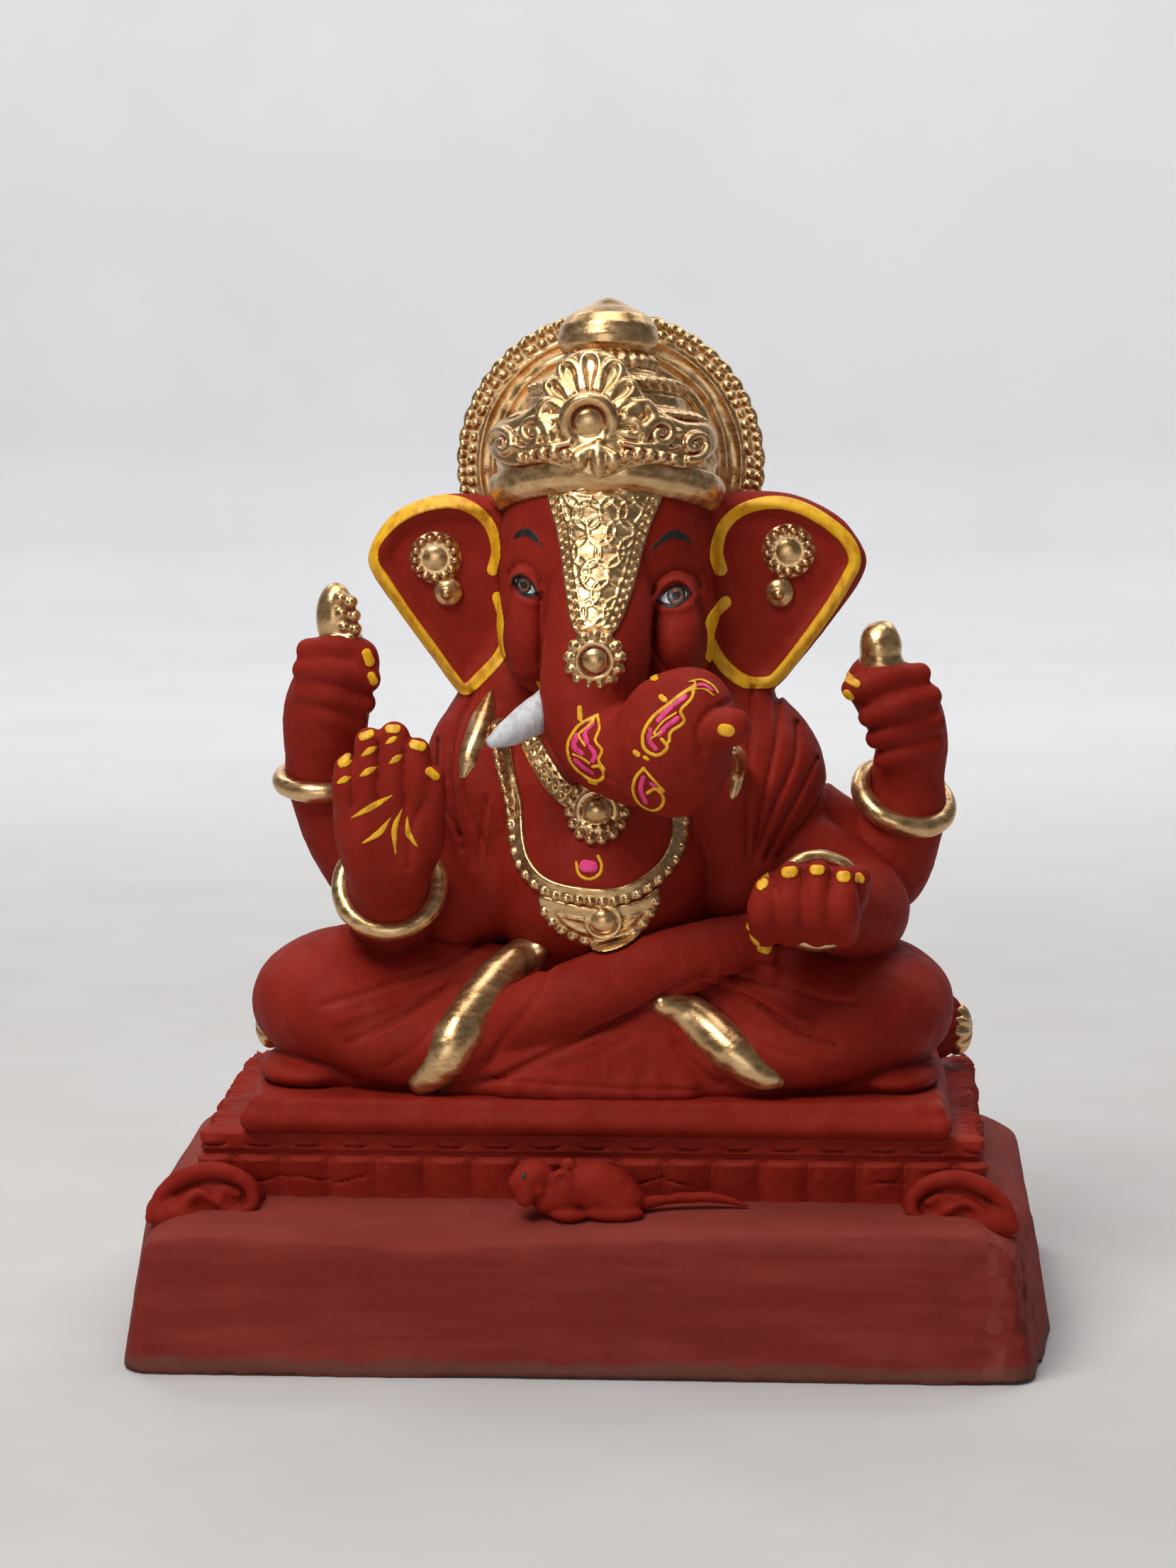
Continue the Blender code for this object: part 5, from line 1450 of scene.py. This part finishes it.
TRUNK_YELLOW = [
    # The leaf on the front of the trunk.
    ([(4.4, 178.7), (1.4, 177.2), (-1.3, 175.2), (-3.7, 170.6), (-2.9, 165.8), (0.6, 162.4), (4.2, 161.2),
      (6.3, 163.0), (5.4, 165.6), (3.3, 165.3)], 0.5),
    ([(4.4, 178.7), (5.0, 175.4), (4.0, 172.4), (5.9, 170.0), (5.0, 167.4), (6.6, 165.0)], 0.45),
    ([(1.1, 170.8), (-0.6, 173.4), (1.4, 175.4), (3.4, 177.4)], 0.4),
    ([(-2.2, 168.1), (0.2, 167.4), (2.4, 166.2)], 0.4),
    ([(-0.5, 180.4), (-0.4, 177.8)], 0.8),
    ([(2.3, 160.7), (4.0, 160.5)], 0.6),
    # The leaf over the curl.
    ([(30.9, 188.4), (27.6, 186.4), (24.5, 184.0), (19.8, 180.1), (17.4, 175.8), (17.8, 171.9), (21.3, 170.4),
      (23.9, 172.6), (22.4, 174.7)], 0.55),
    ([(31.0, 188.6), (30.2, 185.4), (27.4, 182.2), (28.3, 179.3), (24.8, 176.6), (24.4, 174.2)], 0.5),
    ([(26.2, 181.6), (22.9, 179.4), (20.2, 176.2)], 0.35),
    ([(22.2, 176.6), (19.6, 174.8)], 0.35),
    ([(22.0, 185.4), (23.0, 184.8)], 0.8),
    ([(19.0, 189.4), (20.6, 189.5)], 0.5),
    ([(15.2, 170.8), (16.0, 170.2)], 0.8),
    ([(17.8, 169.7), (18.6, 169.2)], 0.6),
    # The loop at the foot of the curl.
    ([(17.5, 166.6), (15.2, 163.6), (14.5, 159.4), (16.2, 155.6), (19.4, 154.2), (22.0, 155.7), (22.7, 158.6),
      (20.6, 161.0), (18.4, 159.6)], 0.5),
    ([(17.5, 166.6), (20.1, 163.6), (22.9, 160.4)], 0.45),
    # The sprig at the top of the curl.
    ([(29.4, 189.3), (32.6, 189.7), (35.6, 188.2), (37.2, 186.2)], 0.28),
    ([(31.0, 187.6), (33.8, 187.4), (36.2, 185.6)], 0.24),
    ([(38.8, 177.5), (40.2, 177.3)], 1.7),
]

TRUNK_PINK = [
    ([(3.0, 176.6), (1.0, 174.4), (1.6, 171.8)], 0.8),
    ([(-1.2, 173.2), (-2.0, 170.2), (0.2, 168.6)], 0.85),
    ([(-1.6, 166.6), (0.8, 164.6), (3.2, 163.4)], 0.7),
    ([(2.6, 170.6), (4.0, 168.6), (3.2, 166.8)], 0.7),
    ([(28.4, 185.8), (24.8, 183.2), (21.4, 179.6)], 0.85),
    ([(26.6, 180.2), (23.6, 178.0), (21.6, 175.8)], 0.75),
    ([(19.3, 177.1), (19.1, 174.2), (20.8, 172.1)], 0.75),
    ([(17.4, 164.0), (16.6, 160.4), (17.9, 156.6)], 0.75),
    ([(19.4, 162.4), (20.4, 161.8)], 0.6),
    ([(30.8, 188.5), (33.4, 188.5), (35.8, 186.9)], 0.4),
]

PALM_LINES = [
    ([(-62.9, 149.6), (-57.1, 152.9), (-51.3, 156.3)], (0.25, 0.95, 0.2)),
    ([(-59.8, 142.8), (-55.2, 145.8), (-51.9, 150.1)], (0.25, 0.9, 0.2)),
    ([(-49.0, 152.2), (-51.0, 146.8), (-50.8, 139.6)], (0.2, 0.9, 0.2)),
    ([(-47.6, 150.3), (-47.1, 145.4), (-44.6, 141.9)], (0.2, 0.9, 0.2)),
    ([(-66.5, 159.3), (-64.6, 160.3), (-62.8, 160.9)], (0.3, 0.95, 0.3)),
    ([(-60.3, 161.3), (-58.0, 162.7), (-55.9, 163.6)], (0.3, 0.95, 0.3)),
    ([(-52.2, 164.8), (-50.4, 166.1), (-48.9, 167.0)], (0.3, 0.95, 0.3)),
    ([(-65.9, 163.6), (-64.2, 164.5), (-62.8, 165.1)], (0.3, 0.8, 0.3)),
    ([(-59.9, 166.7), (-57.6, 168.2), (-55.8, 169.0)], (0.3, 0.95, 0.3)),
    ([(-53.3, 170.1), (-51.6, 171.2), (-50.4, 171.9)], (0.3, 0.8, 0.3)),
]

NAILS = {
    "nails_front_right": (-50.0, [
        ([(-65.6, 164.6), (-64.2, 165.8)], 1.1),
        ([(-59.8, 171.8), (-57.6, 172.6)], 1.1),
        ([(-52.6, 174.0), (-50.4, 174.0)], 1.1),
        ([(-46.0, 169.8), (-43.6, 169.2)], 1.2),
        ([(-41.6, 162.6), (-39.8, 161.0)], 1.1),
    ]),
    "nails_front_left": (-58.0, [
        ([(48.6, 133.6), (49.6, 134.2)], 1.2),
        ([(55.6, 137.2), (57.2, 137.4)], 1.5),
        ([(63.0, 138.0), (64.6, 138.0)], 1.3),
        ([(70.4, 136.2), (71.4, 136.2)], 1.5),
        ([(75.0, 135.2), (75.6, 134.4)], 1.1),
    ]),
    "nails_foot": (-30.0, [
        ([(45.6, 117.8), (47.0, 116.8)], 1.4),
        ([(48.6, 111.6), (50.0, 111.0)], 1.4),
    ]),
    "nails_rear": (-4.0, [
        ([(-63.2, 189.6), (-62.2, 187.0)], 1.3),
        ([(-61.8, 183.4), (-61.0, 181.6)], 1.1),
        ([(71.6, 183.4), (74.4, 182.0)], 1.1),
        ([(71.6, 179.2), (72.6, 178.0)], 1.2),
    ]),
}

MISC_YELLOW = [
    ([(-2.4, 135.6), (-1.6, 132.6), (1.2, 131.2), (4.0, 132.6), (4.6, 135.2), (3.6, 137.4)], 0.5),
    ([(-13.6, 184.0), (-13.0, 180.4), (-12.2, 176.6)], 0.6),
    ([(-25.6, 237.6), (-25.0, 233.6)], 0.9),
    ([(35.0, 237.4), (35.2, 231.6)], 1.0),
]

EYES = (
    dict(centre=(-17.4, 210.2), half=(3.35, 2.45), slant=-0.36, iris=(-17.8, 210.7), radius=2.05),
    dict(centre=(23.9, 207.9), half=(4.0, 2.55), slant=0.16, iris=(24.5, 208.4), radius=2.25),
)


def almond(centre, half, slant, grow):
    """The outline of an eye opening: a fuller upper lid over a flatter lower one."""
    steps = 14
    points = []
    for k in range(2 * steps):
        angle = math.pi * k / steps
        x = (half[0] + grow) * math.cos(angle)
        tall = half[1] * (1.0 if math.sin(angle) > 0 else 0.72) + grow
        z = tall * math.sin(angle) * (1 - 0.30 * (x / (half[0] + grow)) ** 2) + slant * x
        points.append((centre[0] + x, centre[1] + z))
    return points


def round_spot(centre, radius, steps=20):
    return [(centre[0] + radius * math.cos(2 * math.pi * k / steps),
             centre[1] + radius * math.sin(2 * math.pi * k / steps)) for k in range(steps)]


def add_paint(skin, paints):
    def layer(name, paint, strokes=(), blobs=(), rise=0.22, slot="gold_paint", back=-1.0,
              front=FRONT_LIMIT, ground=skin, voxel=PAINT_VOXEL):
        lines = [stroke(points, widths) for points, widths in strokes]
        shape = stroke_map(lines, blobs, step=0.16)
        form = draped(shape, rise, ground, back=back, front=front, under=0.5, edge=0.15)
        add_form(name, form, voxel, paints[paint], (), ground)

    for name, band in zip(("ear_band_right", "ear_band_left"), EAR_BANDS):
        layer(name, "yellow", [band], rise=0.35, front=-30.0)
    layer("trunk_leaves_pink", "pink", TRUNK_PINK, rise=0.16, back=-40.0, slot="red_clay")
    layer("trunk_leaves_yellow", "yellow", TRUNK_YELLOW, rise=0.26, back=-40.0)
    layer("palm_lines", "yellow", PALM_LINES, back=-45.0)
    for name, (back, strokes) in NAILS.items():
        layer(name, "yellow", strokes, rise=0.35, back=back)
    layer("small_yellow_touches", "yellow", MISC_YELLOW, back=-15.0)
    layer("navel_spot", "pink", [([(0.0, 134.8), (2.0, 134.6)], 1.7)], rise=0.18, back=-30.0, slot="red_clay")
    liners, whites, rims, irises, shades, pupils, glints = [], [], [], [], [], [], []
    for eye in EYES:
        centre, half, slant = eye["centre"], eye["half"], eye["slant"]
        (x, z), radius = eye["iris"], eye["radius"]
        liners.append(almond(centre, half, slant, 0.75))
        whites.append(almond(centre, half, slant, -0.25))
        rims.append(round_spot((x, z), radius + 0.35))
        irises.append(round_spot((x, z), radius - 0.2))
        shades.append(round_spot((x - 0.5 * radius, z - 0.1 * radius), 0.36 * radius))
        pupils.append(round_spot((x, z + 0.1), 0.52 * radius))
        glints.append(round_spot((x - 0.2, z + 0.5 * radius), 0.26, 10))
    eye_layers = (("eye_liner", "black", liners), ("eye_white", "white", whites), ("eye_rim", "black", rims),
                  ("eye_iris", "iris", irises), ("eye_shade", "slate", shades),
                  ("eye_pupil", "black", pupils), ("eye_glint", "white", glints))
    for level, (name, paint, blobs) in enumerate(eye_layers):
        layer(name, paint, blobs=blobs, rise=0.14 + 0.10 * level, back=-20.0, slot="white_paint",
              voxel=PAINT_VOXEL * 0.6)
    brows = [
        ([(-20.6, 223.2), (-18.6, 224.8), (-16.2, 224.9), (-14.2, 223.6)], (0.35, 1.0, 1.15, 0.7)),
        ([(20.6, 223.8), (23.2, 224.9), (25.8, 224.3), (28.2, 222.2)], (0.7, 1.15, 1.0, 0.3)),
    ]
    for k in range(6):
        brows.append(([(-15.4 + 0.62 * k, 222.6 - 0.35 * k), (-15.2 + 0.5 * k, 224.4 - 0.35 * k)],
                      (0.12, 0.2)))
        brows.append(([(20.6 - 0.66 * k, 221.9 - 0.3 * k), (21.0 - 0.5 * k, 224.0 - 0.3 * k)], (0.12, 0.2)))
    layer("eyebrows", "black", brows, rise=0.12, back=-20.0, slot="white_paint", voxel=PAINT_VOXEL * 0.7)
    layer("mouse_eye", "black", blobs=[round_spot((-15.0, 54.2), 0.85, 12)], rise=0.2, back=-60.0,
          ground=mouse_form().distance, slot="white_paint")
    add_form("tusk_clay", tusk_form(), TRIM_VOXEL, paints["white"], ("tusk_right",), skin)


# ---------------------------------------------------------------- materials

class Nodes:
    """Short hand for building a material's node tree."""

    def __init__(self, name):
        self.material = bpy.data.materials.new(name)
        self.material.use_nodes = True
        self.tree = self.material.node_tree
        self.tree.nodes.clear()
        self.shader = self.tree.nodes.new("ShaderNodeBsdfPrincipled")
        output = self.tree.nodes.new("ShaderNodeOutputMaterial")
        self.tree.links.new(self.shader.outputs[0], output.inputs[0])
        self.place = self.tree.nodes.new("ShaderNodeTexCoord").outputs["Object"]

    def feed(self, socket, value):
        if isinstance(value, bpy.types.NodeSocket):
            self.tree.links.new(value, socket)
        elif socket.type == "RGBA":
            socket.default_value = (*value, 1.0)
        else:
            socket.default_value = value

    def set(self, **inputs):
        names = {"colour": "Base Color", "rough": "Roughness", "metal": "Metallic", "normal": "Normal",
                 "specular": "Specular IOR Level", "coat": "Coat Weight", "coat_rough": "Coat Roughness"}
        for key, value in inputs.items():
            self.feed(self.shader.inputs[names[key]], value)

    def math(self, operation, a, b, c=0.0):
        node = self.tree.nodes.new("ShaderNodeMath")
        node.operation = operation
        for socket, value in zip(node.inputs, (a, b, c)):
            self.feed(socket, value)
        return node.outputs[0]

    def stretched(self, scale):
        node = self.tree.nodes.new("ShaderNodeMapping")
        node.inputs["Scale"].default_value = scale
        self.feed(node.inputs["Vector"], self.place)
        return node.outputs[0]

    def noise(self, size, detail, rough=0.55, stretch=None):
        """Noise whose features are about size millimetres across."""
        node = self.tree.nodes.new("ShaderNodeTexNoise")
        node.inputs["Scale"].default_value = 1000.0 / size
        node.inputs["Detail"].default_value = detail
        node.inputs["Roughness"].default_value = rough
        self.feed(node.inputs["Vector"], self.stretched(stretch) if stretch else self.place)
        return node.outputs["Fac"]

    def cells(self, size):
        node = self.tree.nodes.new("ShaderNodeTexVoronoi")
        node.inputs["Scale"].default_value = 1000.0 / size
        self.feed(node.inputs["Vector"], self.place)
        return node.outputs["Distance"]

    def ramp(self, value, low, high, start=0.0, end=1.0):
        node = self.tree.nodes.new("ShaderNodeMapRange")
        node.interpolation_type = "SMOOTHSTEP"
        for socket, number in zip(node.inputs, (value, low, high, start, end)):
            self.feed(socket, number)
        return node.outputs[0]

    def mix(self, factor, a, b):
        node = self.tree.nodes.new("ShaderNodeMix")
        node.data_type = "RGBA"
        self.feed(node.inputs["Factor"], factor)
        self.feed(node.inputs[6], a)
        self.feed(node.inputs[7], b)
        return node.outputs[2]

    def attribute(self, name):
        node = self.tree.nodes.new("ShaderNodeAttribute")
        node.attribute_name = name
        return node.outputs["Fac"]

    def along(self, axis):
        """The place along one of the frame's axes, in millimetres."""
        node = self.tree.nodes.new("ShaderNodeSeparateXYZ")
        self.feed(node.inputs[0], self.place)
        return self.math("MULTIPLY", node.outputs[axis], 1000.0)

    def bump(self, *layers):
        """Bumps laid over each other: each is (height value, distance in millimetres)."""
        normal = None
        for value, depth in layers:
            node = self.tree.nodes.new("ShaderNodeBump")
            node.inputs["Distance"].default_value = depth * 0.001
            node.inputs["Strength"].default_value = 1.0
            self.feed(node.inputs["Height"], value)
            if normal:
                self.feed(node.inputs["Normal"], normal)
            normal = node.outputs[0]
        return normal


def red_clay():
    """Fired clay washed with brick-red slip: mottled, finely pored, with painted shade in its hollows and a
    painted highlight on its ridges.
    """
    n = Nodes("red_clay_paint")
    base = n.mix(n.ramp(n.noise(16, 5), 0.35, 0.68), (0.236, 0.0120, 0.0050), (0.284, 0.0170, 0.0075))
    base = n.mix(n.ramp(n.noise(2.6, 5, 0.6), 0.50, 0.80, 0, 0.40), base, (0.150, 0.0070, 0.0035))
    base = n.mix(n.ramp(n.noise(7, 6, 0.62, (1.0, 1.0, 0.35)), 0.56, 0.78, 0, 0.30), base,
                 (0.345, 0.040, 0.022))
    # Painted shade: the clay darkens towards near black where the crease measure says a point lies deep in a
    # hollow.
    base = n.mix(n.ramp(n.attribute("crease"), 0.20, 0.75, 0, 0.65), base, (0.055, 0.0035, 0.0025))
    # Painted highlight: the clay lightens where the crease measure falls below zero, on raised ridges.
    base = n.mix(n.ramp(n.attribute("crease"), -0.08, -0.35, 0, 0.25), base, (0.365, 0.048, 0.027))
    specks = n.ramp(n.cells(1.5), 0.05, 0.16, 1, 0)
    base = n.mix(n.math("MULTIPLY", specks, 0.22), base, (0.400, 0.080, 0.050))
    normal = n.bump((n.noise(3.4, 5, 0.6), 0.20), (n.noise(0.9, 4, 0.6), 0.09), (specks, -0.05))
    rough = n.ramp(n.noise(5, 4), 0.3, 0.7, 0.60, 0.80)
    n.set(colour=base, rough=rough, normal=normal, specular=0.14)
    return n.material


def dusty_clay():
    """The plinth: the same slip gone pink with dust, brushed sideways, bare clay along the foot, painted
    shade in its hollows.
    """
    n = Nodes("dusty_clay_paint")
    streak = n.noise(6, 6, 0.6, (0.12, 0.12, 1.0))
    base = n.mix(n.ramp(streak, 0.40, 0.68), (0.215, 0.024, 0.017), (0.265, 0.038, 0.027))
    base = n.mix(n.ramp(n.noise(22, 5), 0.40, 0.70, 0, 0.5), base, (0.190, 0.022, 0.016))
    base = n.mix(n.ramp(n.noise(3, 5, 0.65), 0.58, 0.80, 0, 0.22), base, (0.330, 0.070, 0.052))
    height = n.along("Z")
    wander = n.math("MULTIPLY_ADD", n.noise(12, 5), 6.0, -3.0)
    level = n.math("ADD", height, wander)
    base = n.mix(n.ramp(level, 6.0, 3.4, 0, 0.80), base, (0.150, 0.062, 0.042))
    base = n.mix(n.ramp(level, 33.0, 40.0, 0, 0.22), base, (0.330, 0.080, 0.062))
    # Painted shade: the plinth darkens where the crease measure says a point lies deep in a hollow.
    base = n.mix(n.ramp(n.attribute("crease"), 0.15, 0.6, 0, 0.7), base, (0.070, 0.012, 0.010))
    # Painted highlight: the plinth lightens where the crease measure falls below zero, on raised ridges.
    base = n.mix(n.ramp(n.attribute("crease"), -0.06, -0.25, 0, 0.25), base, (0.380, 0.110, 0.086))
    normal = n.bump((streak, 0.30), (n.noise(3.6, 6, 0.65), 0.30), (n.noise(1.0, 4, 0.6), 0.12))
    n.set(colour=base, rough=n.ramp(n.noise(4, 4), 0.3, 0.7, 0.74, 0.92), normal=normal, specular=0.12)
    return n.material


def gold_paint():
    """Bright metal paint brushed over the relief, thin enough for red to show in the hollows."""
    n = Nodes("gold_paint_brushed")
    brush = n.noise(2.2, 5, 0.65, (0.35, 1.0, 1.0))
    base = n.mix(n.ramp(brush, 0.36, 0.66), (0.55, 0.315, 0.122), (0.79, 0.515, 0.250))
    base = n.mix(n.ramp(n.noise(9, 4), 0.45, 0.75, 0, 0.5), base, (0.68, 0.43, 0.205))
    worn = n.math("ADD", n.attribute("crease"), n.math("MULTIPLY_ADD", n.noise(1.6, 5, 0.65), 0.7, -0.35))
    red = n.ramp(worn, 0.52, 0.84)
    base = n.mix(red, base, (0.200, 0.026, 0.017))
    metal = n.math("MULTIPLY_ADD", red, -0.9, 0.92)
    rough = n.math("ADD", n.ramp(brush, 0.3, 0.7, 0.20, 0.38), n.math("MULTIPLY", red, 0.35))
    normal = n.bump((brush, 0.10), (n.noise(0.8, 4, 0.6), 0.06))
    n.set(colour=base, rough=rough, metal=metal, normal=normal, coat=0.35, coat_rough=0.16)
    return n.material


def brushed_paint(name, colour, dark, rough, size=2.4):
    """An opaque paint with visible brush marks, darkened by painted shade in its creases."""
    n = Nodes(name)
    marks = n.noise(size, 5, 0.6, (1.0, 1.0, 0.5))
    base = n.mix(n.ramp(marks, 0.38, 0.72), colour, dark)
    # Painted shade: the paint darkens to half its dark tone where the crease measure says a point lies in a
    # hollow.
    base = n.mix(n.ramp(n.attribute("crease"), 0.30, 0.80, 0, 0.5), base, tuple(0.5 * c for c in dark))
    n.set(colour=base, rough=n.ramp(n.noise(1.5, 3), 0.3, 0.7, rough - 0.08, rough + 0.10),
          normal=n.bump((marks, 0.08), (n.noise(0.7, 3), 0.05)), specular=0.4)
    return n.material


def floor_material():
    n = Nodes("pale_floor")
    table = n.mix(n.ramp(n.noise(90, 3), 0.3, 0.7), (0.580, 0.565, 0.555), (0.615, 0.603, 0.596))
    wall = n.mix(n.ramp(n.noise(160, 3), 0.3, 0.7), (0.730, 0.732, 0.740), (0.760, 0.762, 0.770))
    base = n.mix(n.ramp(n.along("Y"), 440.0, 1400.0), table, wall)
    n.set(colour=base, rough=0.75, normal=n.bump((n.noise(1.5, 3), 0.03)), specular=0.2)
    return n.material


# ---------------------------------------------------------------- stage

def add_stage():
    """A pale table that runs back and turns up softly into a wall."""
    profile = [(-4.0, 0.0), (1.80, 0.0), (1.90, 0.01), (1.97, 0.05), (1.99, 0.12), (2.0, 3.2)]
    points, faces = [], []
    for k, (y, z) in enumerate(profile):
        points += [(-4.0, y, z), (4.0, y, z)]
        if k:
            faces.append((2 * k - 2, 2 * k - 1, 2 * k + 1, 2 * k))
    mesh = bpy.data.meshes.new("backdrop")
    mesh.from_pydata(points, [], faces)
    mesh.shade_smooth()
    mesh.materials.append(floor_material())
    backdrop = bpy.data.objects.new("backdrop", mesh)
    bpy.context.scene.collection.objects.link(backdrop)


def area_light(name, place, target, size, power, colour=(1, 1, 1)):
    lamp = bpy.data.lights.new(name, "AREA")
    lamp.shape = "RECTANGLE"
    lamp.size, lamp.size_y = size
    lamp.energy = power
    lamp.color = colour
    holder = bpy.data.objects.new(name, lamp)
    holder.location = place
    holder.visible_camera = False
    holder.rotation_euler = (Vector(target) - Vector(place)).to_track_quat("-Z", "Y").to_euler()
    bpy.context.scene.collection.objects.link(holder)


def add_light():
    """A broad soft light above and to the viewer's left, a weaker fill, and light on the wall behind."""
    area_light("key", (-0.45, -0.70, 1.25), (0, 0, 0.12), (0.6, 0.5), 11.6, (1.0, 0.99, 0.97))
    area_light("overhead", (0.0, 0.05, 1.35), (0, 0.05, 0), (0.9, 0.6), 6.0, (1.0, 0.985, 0.965))
    area_light("front_panel", (-0.25, -2.1, 0.35), (0, 0, 0.2), (1.1, 0.8), 5.8, (0.99, 0.99, 1.0))
    for side in (-1, 1):
        area_light("wall_light", (side * 0.8, 1.2, 1.5), (side * 0.3, 1.9, 0.35), (0.9, 0.9), 11.4)
    world = bpy.data.worlds.new("studio")
    world.use_nodes = True
    sky = world.node_tree.nodes["Background"]
    sky.inputs["Color"].default_value = (0.93, 0.94, 1.0, 1.0)
    sky.inputs["Strength"].default_value = 0.12
    bpy.context.scene.world = world
    bpy.context.scene.view_settings.view_transform = "Standard"


def add_camera():
    """A long view from in front, a little above and to the viewer's right."""
    lens = bpy.data.cameras.new("camera")
    lens.lens = 105.8
    lens.sensor_width = 36.0
    lens.dof.use_dof = False
    camera = bpy.data.objects.new("camera", lens)
    camera.location = (0.06634, -1.2928, 0.330)
    camera.rotation_euler = (math.radians(90 - 7.85), 0.0, math.radians(3.0))
    bpy.context.scene.collection.objects.link(camera)
    bpy.context.scene.camera = camera


def main():
    clay, dusty, gold = red_clay(), dusty_clay(), gold_paint()
    add_camera()
    add_light()
    add_stage()
    add_base(clay, dusty)
    body = Body()
    add_body(body, clay)
    add_gold(body.skin, gold)
    add_paint(body.skin, {
        "yellow": brushed_paint("yellow_paint", (0.92, 0.50, 0.012), (0.66, 0.27, 0.006), 0.42),
        "pink": brushed_paint("pink_paint", (0.86, 0.052, 0.250), (0.58, 0.030, 0.140), 0.5),
        "white": brushed_paint("white_paint", (0.66, 0.66, 0.67), (0.42, 0.43, 0.45), 0.55),
        "black": brushed_paint("black_paint", (0.012, 0.011, 0.012), (0.030, 0.024, 0.022), 0.45),
        "iris": brushed_paint("brown_paint", (0.230, 0.075, 0.035), (0.130, 0.045, 0.026), 0.35, 1.2),
        "slate": brushed_paint("slate_paint", (0.170, 0.250, 0.300), (0.090, 0.120, 0.150), 0.35, 1.2),
    })


main()
